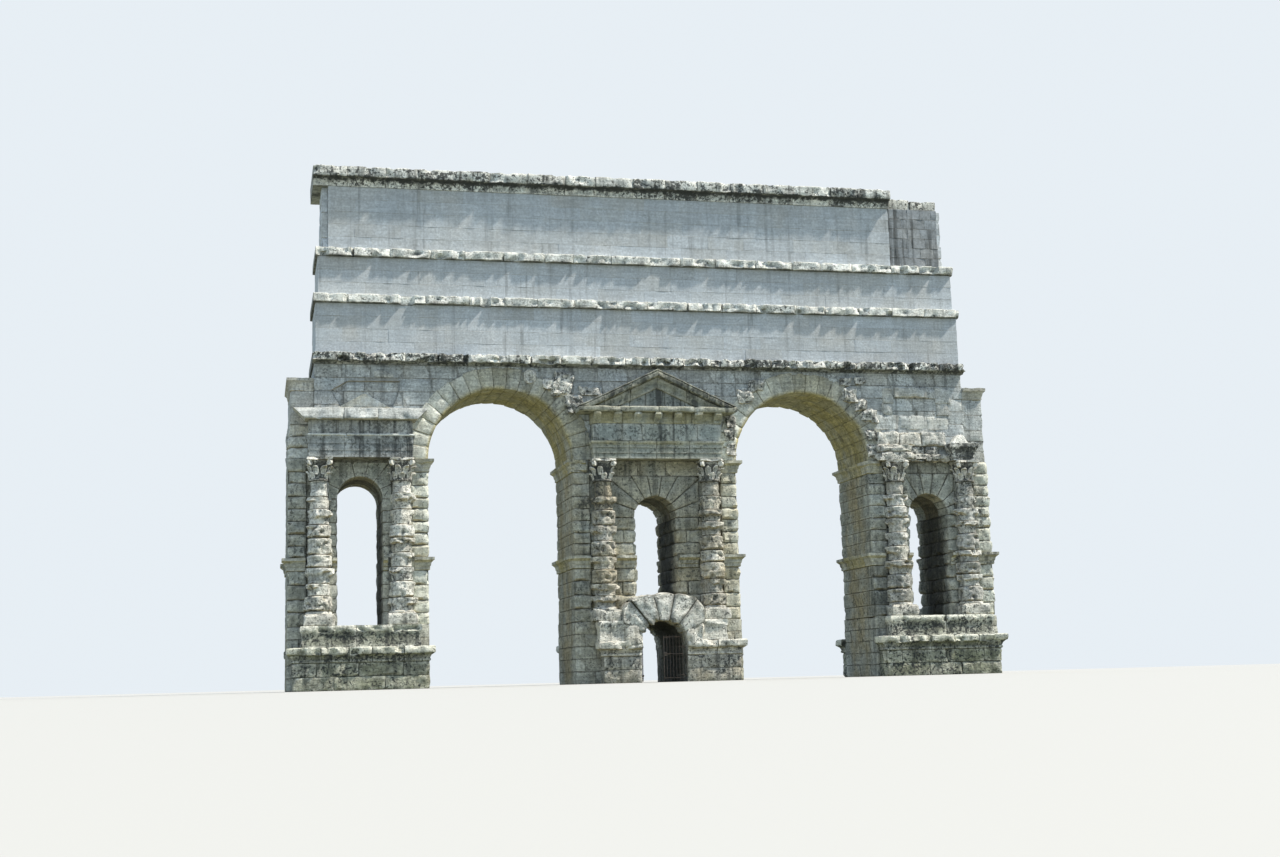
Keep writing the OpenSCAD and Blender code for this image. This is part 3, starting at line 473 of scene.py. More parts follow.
# ---------------------------------------------------------------- round stones
def drum(radius, height, salt, kind, amount, segments=52, rings=15):
    """A rough drum on z=0. Kinds: cushion swells all round, lip breaks out under its top and is cut back below,
    collar keeps a broken band at its top, shaft is only weathered."""
    stone = disc(radius, height, segments)
    upright = [e for e in stone.edges if abs(e.verts[0].co.z - e.verts[1].co.z) > 1e-4]
    bmesh.ops.subdivide_edges(stone, edges=upright, cuts=rings - 1, use_grid_fill=True)
    seam = stone.verts.layers.float.new("seam")
    for v in stone.verts:
        t = v.co.z / height + 0.5
        t = 0.55 * t + 0.45 * (0.5 - 0.5 * math.cos(math.pi * t))
        z = t * height
        a = math.atan2(v.co.y, v.co.x)
        edge = min(z, height - z)
        here = elsewhere(Vector((v.co.x, v.co.y, z)), salt)
        round_it = Vector((math.cos(a) * 0.5 + salt, math.sin(a) * 0.5 - salt, 0.0))
        out = 0.1
        if kind == "cushion":
            out = ease(t / 0.16) * ease((1 - t) / 0.10) * (0.8 + 0.6 * lumps(here, 0.5))
        elif kind == "lip":
            waver = 0.16 * lumps(round_it, 0.3) + 0.05 * lumps(round_it, 0.1)
            out = (0.05 + 0.95 * ease((t - 0.42 - waver) / 0.20)) * ease((1 - t) / 0.05)
            out *= 0.12 + 1.0 * ease(lumps(round_it, 0.8) * 1.6 + 0.70)
        elif kind == "collar":
            waver = 0.10 * lumps(round_it, 0.25)
            out = ease((t - 0.60 - waver) / 0.07) * ease((1 - t) / 0.05) * ease(lumps(round_it, 0.7, 2.0) * 2.0 + 0.8)
        bite = max(0.0, lumps(here, 0.22, 3.0) - 0.08) * ease(edge / 0.03)
        crest = 0.5 - abs(2.2 * lumps(here, 0.26))
        grow = amount * (out - 1.6 * bite * out) - 0.06 * bite
        grow += (0.034 * lumps(here, 0.36) + 0.026 * crest) * ease(edge / 0.05)
        grow += 0.012 * lumps(here, 0.10, 6.0) * ease(edge / 0.03)
        if edge < 1e-4:
            grow -= 0.050
        r = radius + grow
        v.co = Vector((r * math.cos(a), r * math.sin(a), z + 0.020 * lumps(here, 0.3, 3.0) * ease(edge / 0.05)))
        v[seam] = min(1.0, edge / 0.12)
    return stone


def leaf(width, height, curl):
    """One worn leaf, rising along z with its tip curled towards -y."""
    plate = bmesh.new()
    bmesh.ops.create_grid(plate, x_segments=4, y_segments=6, size=0.5)
    for v in plate.verts:
        across, up = v.co.x * 2, v.co.y + 0.5
        narrow = (0.72 + 0.5 * math.sin(up * 2.4)) * (1 - 0.5 * up ** 4)
        rib = 0.16 * width * (1 - abs(across)) + 0.05 * width * math.cos(across * 9)
        out = curl * up ** 2.2
        fall = -0.35 * curl * ease((up - 0.72) / 0.28)
        v.co = Vector((across * width / 2 * narrow, -out - rib, up * height + fall))
    bmesh.ops.solidify(plate, geom=plate.faces[:], thickness=0.035)
    bmesh.ops.recalc_face_normals(plate, faces=plate.faces[:])
    return plate


def worn(stone, amount, size, salt):
    """Moves every corner of a stone a little, by lumps of one size."""
    for v in stone.verts:
        here = v.co + Vector((salt, salt * 2, salt * 3))
        v.co += Vector((lumps(here, size), lumps(here, size, 1.0), lumps(here, size, 2.0))) * amount


def lay_capital(work, x, y, z):
    """A worn leaf capital: necking, bell, two rows of leaves, corner scrolls and a hollow-sided slab."""
    luck = work.luck
    leaves = 8

    def lay(stone, spot, *look, wear=0.0, size=1.0):
        if wear:
            worn(stone, wear, size, luck.uniform(0, 20))
        place(stone, Matrix.Translation((x, y, z)) @ spot)
        work.lay(stone, *look)

    bell = bmesh.new()
    outline = [(0.46, 0.0), (0.47, 0.05), (0.42, 0.09), (0.40, 0.3), (0.42, 0.55), (0.49, 0.76), (0.54, 0.85)]
    line = [bell.verts.new((r, 0, h)) for r, h in outline]
    edges = [bell.edges.new(ends) for ends in zip(line, line[1:])]
    bmesh.ops.spin(bell, geom=line + edges, cent=(0, 0, 0), axis=(0, 0, 1), angle=math.tau, steps=28, use_merge=True)
    bmesh.ops.holes_fill(bell, edges=[e for e in bell.edges if e.is_boundary])
    bmesh.ops.recalc_face_normals(bell, faces=bell.faces[:])
    # The bell is painted nearly black: painted shade behind the leaves.
    lay(bell, Matrix.Identity(4), 0.05, 0.75, 0.25, wear=0.012, size=0.2)
    for row, (low, high, curl) in enumerate([(0.06, 0.40, 0.17), (0.30, 0.44, 0.22)]):
        for i in range(leaves):
            if luck.random() < 0.12:
                continue
            blade = leaf(0.24, high * luck.uniform(0.85, 1.05), curl * luck.uniform(0.55, 1.1))
            worn(blade, 0.022, 0.12, luck.uniform(0, 20))
            spot = turned((i + 0.5 * row) * 360 / leaves, "Z") @ Matrix.Translation((0, -0.40, low))
            lay(blade, spot, luck.uniform(0.55, 0.95), 0.35, 0.15)
    for i in range(4):
        scroll = softened(disc(0.13, 0.15, 12), 0.02, 1)
        worn(scroll, 0.02, 0.1, luck.uniform(0, 20))
        spot = turned(45 + 90 * i, "Z") @ Matrix.Translation((0, -0.60, 0.78)) @ turned(90, "Y")
        lay(scroll, spot, luck.uniform(0.6, 0.95), 0.35, 0.15)
    slab = cut_block((1.12, 1.12, 0.13), "-x +x -y +y -z", Finish(0.14, 0.015, (0, 0), 0, 0.1, 0.01, 0.05),
                     luck.uniform(0, 30))
    for v in slab.verts:
        hollow = 0.10 * (1 - min(abs(v.co.x), abs(v.co.y)) / 0.56) ** 2
        v.co.x -= math.copysign(hollow, v.co.x) if abs(v.co.x) > abs(v.co.y) else 0
        v.co.y -= math.copysign(hollow, v.co.y) if abs(v.co.y) >= abs(v.co.x) else 0
    place(slab, (x, y, z + 0.935))
    work.lay(slab, 0.8, 0.35, 0.15)


def lay_column(work, x, y, salt, pale, warm):
    """Base block, nine rough drums of uneven height and width, and a capital."""
    luck = work.luck
    low, high = PODIUM_Z + COL_BASE_H, SPRING_Z - CAPITAL_H
    block, block_h, ring_h = 1.30, 0.50, 0.16
    base = cut_block((block, block, block_h), "-x +x -y +z", Finish(0.11, 0.03, (0, 0), 0.0, 0.10, 0.026, 0.07), salt)
    place(base, (x, y, PODIUM_Z + block_h / 2))
    work.lay(base, pale + luck.uniform(0.0, 0.2), 0.42, 0.2)
    ring = drum(COL_R + 0.08, ring_h, salt + 3, "cushion", 0.03, rings=3)
    place(ring, (x, y, PODIUM_Z + 0.46))
    work.lay(ring, pale, 0.3, 0.2)
    for i, (z0, height) in enumerate(uneven_beds(luck, low, high, DRUMS, 0.2)):
        kind = luck.choice(("cushion", "lip", "lip", "collar")) if i else luck.choice(("cushion", "lip"))
        if i == DRUMS - 1:
            kind = "shaft"
        amount = {"cushion": luck.uniform(0.11, 0.16), "lip": luck.uniform(0.16, 0.21),
                  "collar": luck.uniform(0.13, 0.19), "shaft": 0.03}[kind]
        stone = drum(COL_R + 0.02 - 0.08 * i / (DRUMS - 1), height, luck.uniform(0, 40), kind, amount)
        place(stone, (x + luck.uniform(-0.02, 0.02), y, z0))
        work.lay(stone, pale + luck.uniform(-0.2, 0.2), luck.uniform(0.15, 0.55), luck.uniform(warm, warm + 0.25))
    lay_capital(work, x, y, high)


# ---------------------------------------------------------------- the gate's parts
def circle_x(h, r):
    """Half width of a circle at a height over its middle."""
    return math.sqrt(max(0.0, r * r - h * h))


def lay_vault(work, x, spring, stones):
    """The vault within a window."""
    thick = 0.45
    lay_arch(work, x, spring, WINDOW_R, WINDOW_R + thick, stones, (-SOFFIT_Y, SOFFIT_Y), "-z", SOFFIT, (0.4, 0.15),
             0.3, 0.75)


def lay_side_pier(work, crown, ring_top, ring_stones, ring_rough, tint, inner, outer):
    """A side pier, front and back: plinth, strips of two tones, recessed wall, window and its rings."""
    spring, course = crown - WINDOW_R, 0.55
    in1, out0 = SIDE_IN + STRIP, SIDE_OUT - STRIP
    lay_wall(work, (SIDE_IN, SIDE_OUT), PLINTH_Y, (0, PODIUM_Z), 5, 1.2, 3, "-x +x -y +y +z", JAMB, (0.55, 0.15),
             0.4, tint, flush="-x +x", deep=STAINED_AND_SHADED)
    for z0, z1, count, finish in STOREYS:
        if z1 == HIGH_IMPOST_Z and inner > outer:
            finish = RUGGED
        # Of the inner and outer strips, the one on the +x side is given the lighter tone: partly painted sunlight from
        # the right, partly whiter rough stone.
        lay_wall(work, (SIDE_IN, in1), WALL_Y, (z0, z1), count, 2.0, 2, "-x -y +y", finish, (inner, 0.2),
                 0.4 if inner < 1 else 0.25, tint, flush="-x", uneven=0.14, deep=STAINED_AND_SHADED)
        lay_wall(work, (out0, SIDE_OUT), WALL_Y, (z0, z1), count, 2.0, 3, "+x -y +y", finish, (outer, 0.18),
                 0.4, tint, flush="+x", uneven=0.10)
    for z0, z1, count in [(PODIUM_Z, LOW_IMPOST_Z, 4), (LOW_IMPOST_Z, UPPER_WALL_Z, 1),
                          (UPPER_WALL_Z, spring, round((spring - UPPER_WALL_Z) / course))]:
        for xs, side in [((in1, SIDE_X - WINDOW_R), "+x"), ((SIDE_X + WINDOW_R, out0), "-x")]:
            lay_wall(work, xs, FACE_Y, (z0, z1), count, 2.0, 3, side + " -y +y", BOSSED if outer > inner else JAMB,
                     (0.50, 0.12), 0.4, tint, deep=BLACKENED_AND_SHADED)
    for xs in [(in1, SIDE_X - SIDE_RING), (SIDE_X + SIDE_RING, out0)]:
        lay_wall(work, xs, FACE_Y, (spring, SPRING_Z), 3, 2.0, 2, "-y +y", PLAIN)
    lay_wall(work, (SIDE_X - SIDE_RING, SIDE_X + SIDE_RING), FACE_Y, (ring_top, SPRING_Z), 1, 0.9, 2, "-y +y", PLAIN,
             (0.45, 0.12), 0.4, tint)
    for _ in work.faces():
        lay_window_ring(work, SIDE_X, crown, ring_top, SIDE_RING, ring_stones, (0.65, 0.12), 0.35, tint, ring_rough)
    lay_vault(work, SIDE_X, spring, ring_stones + 4)


def lay_centre_pier(work):
    """The centre pier: strips, wall, window, low passage and its vault."""
    sill, crown, ring_top = 3.25, 8.26, 9.16
    spring = crown - WINDOW_R
    in1 = CENTRE_HALF - STRIP
    for s, near, far in [(-1, "+x", "-x"), (1, "-x", "+x")]:
        lay_wall(work, sorted((s * LOW_R, s * CENTRE_HALF)), PLINTH_Y, (0, PODIUM_Z), 5, 1.0, 3, "-x +x -y +y +z", JAMB,
                 (0.55, 0.15), 0.45, 0.3, flush="-x +x", deep=STAINED_AND_SHADED)
        for z0, z1, count, finish in STOREYS:
            # The right strip is given the lighter tone: partly painted sunlight from the right, partly whiter rough
            # stone.
            lay_wall(work, sorted((s * in1, s * CENTRE_HALF)), WALL_Y, (z0, z1), count, 2.0, 3, far + " -y +y", finish,
                     (1.0 if s > 0 else 0.55, 0.18), 0.36, 0.4, flush=far, uneven=0.12, deep=STAINED_AND_SHADED)
        for z0, z1, count in [(sill, LOW_IMPOST_Z, 3), (LOW_IMPOST_Z, UPPER_WALL_Z, 1), (UPPER_WALL_Z, spring, 3)]:
            lay_wall(work, sorted((s * WINDOW_R, s * in1)), FACE_Y, (z0, z1), count, 1.1, 3, near + " -y +y", BOSSED,
                     (0.70, 0.16), 0.36, 0.5, deep=BLACKENED_AND_SHADED)
        lay_wall(work, sorted((s * CENTRE_RING, s * in1)), FACE_Y, (spring, SPRING_Z), 3, 2.0, 2, "-y +y", PLAIN)
    lay_wall(work, (-in1, in1), FACE_Y, (PODIUM_Z, sill), 1, 1.2, 2, "-y +y +z", PLAIN, (0.4, 0.15), 0.4, 0.3)
    lay_wall(work, (-CENTRE_RING, CENTRE_RING), FACE_Y, (ring_top, SPRING_Z), 1, 1.3, 2, "-y +y", PLAIN,
             (0.65, 0.14), 0.42, 0.5)
    for _ in work.faces():
        lay_window_ring(work, 0, crown, ring_top, CENTRE_RING, 9, (0.62, 0.22), 0.42, 0.35, 1.0)
    lay_vault(work, 0, spring, 11)
    lay_arch(work, 0, LOW_SPRING_Z, LOW_R, LOW_R + 0.3, 9, (-PLINTH_Y, PLINTH_Y), "-z", SOFFIT, (0.35, 0.15), 0.4, 0.5)
    # Inside the low passage the stones are drawn toward the blackened look: partly soot, partly painted shade.
    look = work.body.verts.layers.float_color["stone"]
    for v in work.body.verts:
        if abs(v.co.x) < LOW_R + 0.05 and v.co.z < LOW_SPRING_Z + LOW_R + 0.1:
            sooty_and_shaded = Vector(v[look][:3]).lerp(Vector(BLACKENED_AND_SHADED), ease((2.3 - abs(v.co.y)) / 0.8))
            v[look] = (*sooty_and_shaded, v[look][3])


def lay_imposts(work, x0, x1, middle, col, both):
    """Impost bands of a pier from x0 to x1; both: its two ends face great arches, else only x0 does."""
    low = impost_profile(IMPOST_H, IMPOST_OUT)
    recessed = impost_profile(IMPOST_H, IMPOST_OUT + WALL_Y - FACE_Y)
    look = dict(cell=0.12, wear=0.014, chips=0.04, tone=(0.6, 0.1), crust=0.4, warm=0.22)
    broken = dict(cell=0.10, wear=0.03, chips=0.12, tone=(0.62, 0.1), crust=0.35, warm=0.3)
    hidden, short, jamb_half = 0.56, 0.60, 1.25  # half of what a column hides, a short band, half a jamb's band
    reach = col - hidden
    bands = [(low, x0, middle - col - hidden, WALL_Y, LOW_IMPOST_Z, 0.8, START, look),
             (low, middle + col + hidden, x1, WALL_Y, LOW_IMPOST_Z, 0.8, END, look),
             (recessed, middle - reach, middle - WINDOW_R, FACE_Y, LOW_IMPOST_Z, 0.3, NEITHER, look),
             (recessed, middle + WINDOW_R, middle + reach, FACE_Y, LOW_IMPOST_Z, 0.3, NEITHER, look),
             (low, x0, x0 + short, WALL_Y, HIGH_IMPOST_Z, 0.8, START, broken),
             (low, x1 - short, x1, WALL_Y, HIGH_IMPOST_Z, 0.8, END, broken)]
    for _ in work.faces():
        for profile, start, end, y, z, back, flare, finish in bands[:6 if both else 5]:
            lay_run(work, profile, start, end, -y, z, back, 3.0, flare=flare, **finish)
    for degrees, face in [(-90, x0), (90, -x1)][:2 if both else 1]:
        for z in (LOW_IMPOST_Z, HIGH_IMPOST_Z):
            lay_run(work, low, -jamb_half, jamb_half, face, z, 0.6, 0.9, math.radians(degrees),
                    **dict(look, warm=0.8))


def beside_ring(middle_x, side, far_x, end_x):
    """Fits the end of a course of the wall to the back of a great ring, whose reach it follows."""
    def fit(co):
        end = middle_x + side * circle_x(min(co.z, CORNICE_Z) - SPRING_Z, RING_BACK)
        share = (co.x - far_x) / (end_x - far_x)
        return Vector((far_x + share * (end - far_x), co.y, co.z))
    return fit


def over_ring(middle_x, z0, z1):
    """Lifts the underside of the stones over a great ring's crown to its back."""
    def fit(co):
        low = max(z0, SPRING_Z + circle_x(co.x - middle_x, RING_BACK))
        return Vector((co.x, co.y, low + (co.z - z0) / (z1 - z0) * (z1 - low)))
    return fit


def lay_spandrels(work):
    """The wall round the great arches, in seven courses, cut to the backs of the rings."""
    courses, typical = 7, 1.35
    height = (CORNICE_Z - SPRING_Z) / courses
    look = dict(tone=(0.50, 0.15), crust=0.35, warm=0.05)
    for row in range(courses):
        zs = z0, z1 = SPRING_Z + row * height, SPRING_Z + (row + 1) * height
        last = row == courses - 1
        ends = [circle_x(z - SPRING_Z, RING_BACK) for z in zs]
        end = ends[0] if last else sum(ends) / 2
        for s, far in [(-1, " -x"), (1, " +x")]:
            centre = s * ARCH_X
            inner, outer = centre - s * end, centre + s * end
            work.luck.random()  # one draw for each side, so that every later stone keeps its own
            for a, b, side in [(0.0, inner, -s), (s * UPPER_HALF, outer, s)]:
                sides = "-y +y" + (far if a else "")
                if last:
                    lay_wall(work, sorted((a, b)), WALL_Y, zs, 1, typical, 2, sides, PLAIN, **look)
                    continue
                count = max(1, round(abs(b - a) / typical))
                step = (b - a) / count
                shift = 0.5 * step if row % 2 and count > 1 else 0.0
                marks = [a + step * k + (shift if 0 < k < count else 0) for k in range(count)] + [b]
                marks = [m for k, m in enumerate(marks) if k in (0, len(marks) - 1) or abs(m - b) > 0.4 * abs(step)]
                for k in range(len(marks) - 1):
                    fit = beside_ring(centre, side, marks[k], b) if k == len(marks) - 2 else None
                    lay_wall(work, sorted(marks[k:k + 2]), WALL_Y, zs, 1, 9.0, 2, "-y +y" if k else sides, PLAIN,
                             fit=fit, **look)
            if last:
                lay_wall(work, sorted((inner, outer)), WALL_Y, zs, 1, 1.0, 2, "-y +y", PLAIN,
                         fit=over_ring(centre, z0, z1), **look)


def lay_haunch_stones(work):
    """Rough stones left standing on the haunches of the great arches."""
    luck = work.luck
    haunches = [(-4.59, -3.72, 12.69, 13.8, 0.22), (-5.02, -4.51, 13.05, 13.54, 0.16), (-4.0, -3.25, 11.98, 12.71, 0.2),
                (-3.37, -2.45, 12.77, 13.15, 0.16), (-5.9, -5.29, 13.28, 13.83, 0.12), (4.53, 5.25, 13.05, 13.54, 0.16),
                (3.95, 4.6, 12.5, 13.12, 0.18), (9.05, 9.73, 12.64, 13.28, 0.2), (9.68, 10.21, 12.24, 12.8, 0.2),
                (9.94, 10.69, 11.69, 12.25, 0.18), (10.11, 10.64, 10.86, 11.35, 0.18),
                (10.15, 10.75, 10.04, 10.63, 0.18), (8.94, 9.46, 13.4, 13.72, 0.12), (9.66, 10.26, 13.48, 13.74, 0.12),
                (3.34, 3.78, 10.1, 10.62, 0.16), (3.3, 3.74, 10.72, 11.3, 0.14), (3.38, 3.8, 11.4, 11.95, 0.16)]
    sunk = 0.14
    for x0, x1, z0, z1, out in haunches:
        stone = cut_block((x1 - x0, out + sunk, z1 - z0), "-x +x -y +z -z",
                          Finish(0.075, 0.015, (0, 0), 0.03, 0.10, 0.085, 0.12), luck.uniform(0, 40))
        lean = luck.uniform(-0.25, 0.25)
        for v in stone.verts:
            v.co.x += lean * v.co.z
        place(stone, ((x0 + x1) / 2, -WALL_Y - (out - sunk) / 2, (z0 + z1) / 2))
        work.lay(stone, luck.uniform(0.5, 0.8), luck.uniform(0.45, 0.7), 0.1)


def lay_wall_details(work):
    """What stands on the front wall: patches that stand proud, a smooth band, a pale triangle."""
    raised = [(11.6, 13.16, 12.89, 13.33, 0.16, 0.8), (13.1, 13.72, 12.84, 13.33, 0.07, 0.55),
              (13.64, 14.43, 12.6, 13.38, 0.07, 0.55), (11.0, 11.55, 12.6, 13.3, 0.06, 0.55),
              (10.97, 11.51, 12.01, 12.57, 0.06, 0.6), (13.68, 14.34, 12.04, 12.61, 0.06, 0.5),
              (10.6, 14.31, 11.36, 12.02, 0.035, 0.85), (-12.5, -11.6, 13.45, 13.75, 0.05, 0.6)]
    for x0, x1, z0, z1, out, tone in raised:
        lay_wall(work, (x0, x1), (-WALL_Y - out, -WALL_Y + 0.05), (z0, z1), 1, 1.4, 1, "-x +x -y +z -z",
                 Finish(0.14, 0.012, (0, 0.01), 0.006, 0.06, 0.014, 0.05), (tone, 0.08), 0.3, 0.25)
    foot, apex, middle = 12.0, 12.72, -12.89

    def to_apex(co):
        share = (co.z - foot) / (apex - foot)
        return Vector((middle + (co.x - middle) * (1 - 0.97 * share), co.y, co.z))

    lay_wall(work, (-14.25, -11.53), (-WALL_Y - 0.05, -WALL_Y + 0.04), (foot, apex), 1, 3.0, 1, "-x +x -y +z",
             Finish(0.14, 0.01, (0, 0), 0.0, 0.06, 0.012, 0.02), (1.2, 0.02), 0.05, 0.6, fit=to_apex)


def cut_chase(work):
    """The shallow chase where a pediment stood against the left wall, cut into the stones' faces."""
    middle, base, deep = -12.88, 11.97, 0.08
    outline = [(-1.05, 0.13), (-1.45, 0.89), (-0.71, 1.32), (1.53, 1.32), (1.49, 0.85), (1.22, 0.16)]
    corners = [Vector((middle + x, 0.0, base + z)) for x, z in outline]
    heart = sum(corners, Vector()) / len(corners)
    body = work.body
    edges = []
    for i, a in enumerate(corners):
        b = corners[(i + 1) % len(corners)]
        inward = (b - a).cross(Vector((0, 1, 0))).normalized()
        if inward.dot(heart - a) < 0:
            inward = -inward
        edges.append((a, inward))

    def near(v):
        return v.co.y < -WALL_Y + 0.25 and abs(v.co.x - middle) < 1.75 and base - 0.1 < v.co.z < base + 1.6

    for shift in (0.0, 0.03):
        for a, inward in edges:
            faces = [f for f in body.faces if all(near(v) for v in f.verts)]
            geom = list({v for f in faces for v in f.verts}) + list({e for f in faces for e in f.edges}) + faces
            bmesh.ops.bisect_plane(body, geom=geom, dist=1e-5, plane_co=a + inward * shift, plane_no=inward)
    look = body.verts.layers.float_color["stone"]
    for v in body.verts:
        if near(v) and v.co.y < -WALL_Y + 0.1:
            inside = min((v.co - a).dot(inward) for a, inward in edges)
            if inside > 0.029:
                v.co.y += deep
            if -0.001 < inside < 0.035:
                v[look][3] = 0.0


def lay_upper_wall(work):
    lay_spandrels(work)
    lay_wall_details(work)
    cut_chase(work)


def lay_great_ring(work):
    """Nineteen voussoirs, three deep, with rough faces; the left ring is the right one turned over."""
    shown = Finish(0.17, 0.02, (0, 0), 0.012, 0.12, 0.018, 0.05)
    proud, joint0, joint1 = (0.015, 0.05), -0.72, 0.66
    for ys, sides, finish, out in [((-WALL_Y, joint0), "-z -y", shown, proud),
                                   ((joint0, joint1), "-z", SOFFIT, (0, 0)),
                                   ((joint1, WALL_Y), "-z +y", shown, proud)]:
        lay_arch(work, ARCH_X, SPRING_Z, ARCH_R, RING_REACH, VOUSSOIRS, ys, sides, finish, (0.5, 0.15), 0.36, 0.3, out,
                 0.09, 0.95, 0.9)


def lay_wing(work, rough):
    """The outer end of a side pier over the springing, with its projecting crown block."""
    shelf, crown = 11.35, 12.82
    lay_wall(work, (UPPER_HALF, WING_X), WING_Y, (SPRING_Z, shelf), 3, 1.0, 2, "-y +y +x", RUGGED if rough else PLAIN,
             (1.1 if rough else 0.6, 0.15), 0.4, 0.3, deep=(0.55, 0.4, 0.3))
    lay_wall(work, (UPPER_HALF, WING_X), WING_Y, (shelf, crown), 2, 1.0, 2, "-y +y +x", PLAIN, (0.5, 0.12), 0.3, 0.2)
    for _ in work.faces():
        lay_run(work, impost_profile(0.55, 0.18), UPPER_HALF, WING_X - 0.02, -WING_Y, crown, WING_Y, 3.0, flare=END,
                wear=0.03, tone=(0.62, 0.1), crust=0.3, warm=0.45)


def lay_podium(work, x0, x1, course0, course1, hole=False):
    """A podium before the plinth: base, moulded ledge and upper course; hole leaves the low passage open."""
    face, course_face = 2.85, 2.90

    def spans(a, b):
        return [(a, -LOW_R, START), (LOW_R, b, END)] if hole else [(a, b, BOTH)]

    ledge = [(0, 0), (0.05, 0.03), (0.05, 0.10), (0.02, 0.14), (0.08, 0.26), (0.19, 0.33), (0.22, 0.34), (0.25, 0.40),
             (0.25, 0.60), (0.21, 0.65), (-0.62, 0.65)]
    for a, b, flare in spans(x0, x1):
        lay_wall(work, (a, b), (-face, -PLINTH_Y), (0, LEDGE_Z), 2, 1.9, 1, "-y" + " -x" * flare[0] + " +x" * flare[1],
                 COURSE, (0.40, 0.12), 0.45, 0.4, flush="-x +x" if hole else "")
        lay_run(work, ledge, a, b, -face, LEDGE_Z, 0.72, 1.25, flare=flare, cell=0.10, wear=0.055, chips=0.10,
                tone=(1.05, 0.12), crust=0.32, warm=0.2,
                below=(LEDGE_Z + 0.42, *((0.60, 0.40, 0.25) if hole else (0.30, 0.62, 0.3))))
    lipped = [(0, 0), (0.015, 0.08), (-0.03, 0.30), (-0.035, 0.50), (0.0, 0.62), (0.045, 0.68), (0.05, 0.82),
              (0.01, 0.90), (-0.3, 0.90)]
    for a, b, flare in spans(course0, course1):
        lay_run(work, lipped, a + 0.05 * flare[0], b - 0.05 * flare[1], -course_face, COURSE_Z, 0.80, 2.1, flare=flare,
                cell=0.10, wear=0.045, chips=0.09, tone=(1.0, 0.12), crust=0.30, warm=0.1,
                below=(PODIUM_Z - 0.24, *((0.90, 0.40, 0.15) if hole else (0.35, 0.66, 0.2))))


def lay_low_ring(work):
    """Five big rough stones over the low passage, each reaching out by its own length."""
    bed, count, mean_r = math.radians(26), 5, 1.7
    reaches = [LOW_R + 1.12 + more for more in (0.08, 0.28, 0.03, 0.0, 0.29, 0.10)]
    step = (math.pi - 2 * bed) / count
    half = 1.79
    for i in range(count):
        face = 3.06 + 0.05 * math.sin(i * 2.3 + 1)
        size = (step * mean_r - 0.012 - 0.02 * (i > 2), face - FACE_Y, 1.0)
        stone = cut_block(size, "-y +y -z +z", Finish(0.085, 0.014, (0, 0), 0.02, 0.05, 0.055, 0.06), 5.0 + i * 3.1,
                          flush="+y")
        for v in stone.verts:
            turn = v.co.x / mean_r
            far = reaches[i] + (reaches[i + 1] - reaches[i]) * (turn / step + 0.5)
            a = bed + (i + 0.5) * step + turn
            r = LOW_R + (v.co.z + 0.5) * (far - LOW_R)
            x = r * math.cos(a)
            if abs(x) > half:
                x = math.copysign(half + 0.25 * (abs(x) - half), x)
            v.co = Vector((x, -(face + FACE_Y) / 2 + v.co.y, LOW_SPRING_Z + r * math.sin(a)))
        work.lay(stone, 1.15 + 0.12 * math.sin(i * 4.0), 0.3, 0.1)
    for s, side in [(-1, "+x"), (1, "-x")]:
        stone = cut_block((0.74, 1.2, 0.95), "-y +z " + side, RUGGED, 9.0 + s)
        place(stone, (s * 1.42, -2.45, 1.98))
        for v in stone.verts:
            r = math.hypot(v.co.x, v.co.z - LOW_SPRING_Z)
            if r < LOW_R and v.co.z > LOW_SPRING_Z:
                v.co.x *= LOW_R / r
                v.co.z = LOW_SPRING_Z + (v.co.z - LOW_SPRING_Z) * LOW_R / r
        work.lay(stone, 0.85, 0.4, 0.3)


def lay_entablature_run(work, profile, half, z, middle=0.0, out=0.0, typical=1.5, **look):
    """A moulding round an entablature, both ends returned."""
    lay_run(work, profile, middle - half, middle + half, -ENTAB_Y - out, z, ENTAB_DEEP, typical, flare=BOTH, **look)


def lay_side_entablature(work):
    """Moulded architrave, frieze, and the worn course that was its cornice."""
    frieze, worn_z = 10.80, 11.45
    lay_entablature_run(work, architrave_profile(0.95, 0.08), SIDE_ENTAB, SPRING_Z, SIDE_X, wear=0.009, chips=0.04,
                        tone=(0.25, 0.12), crust=0.62, warm=0.0)
    fillet = [(0.0, 0.0), (0.05, 0.02), (0.07, 0.07), (0.05, 0.10), (-0.3, 0.10)]
    lay_entablature_run(work, fillet, SIDE_ENTAB, SPRING_Z + 0.90, SIDE_X, 0.06, wear=0.008, chips=0.03,
                        tone=(1.3, 0.1), crust=0.1, warm=0.1)
    lay_wall(work, (SIDE_X - SIDE_ENTAB, SIDE_X + SIDE_ENTAB), (-ENTAB_Y, -WALL_Y), (frieze, worn_z), 1, 1.25, 1,
             "-y -x +x", Finish(0.16, 0.012, (0, 0.015), 0.008, 0.08, 0.014, 0.04), (0.50, 0.15), 0.62, 0.3)

    def drawn_out(co):
        side = math.copysign(1.0, co.x - SIDE_X)
        past = side * (co.x - SIDE_X) - SIDE_ENTAB
        reach = 0.16 + 0.50 * (co.z - worn_z) / 0.52
        return Vector((SIDE_X + side * (SIDE_ENTAB + reach), co.y, co.z)) if past > 0.02 else co

    lay_entablature_run(work, worn_profile(0.52, 0.30), SIDE_ENTAB, worn_z, SIDE_X, 0.0, 1.6, cell=0.11, wear=0.022,
                        chips=0.07, tone=(0.72, 0.10), crust=0.34, warm=0.12, fit=drawn_out)


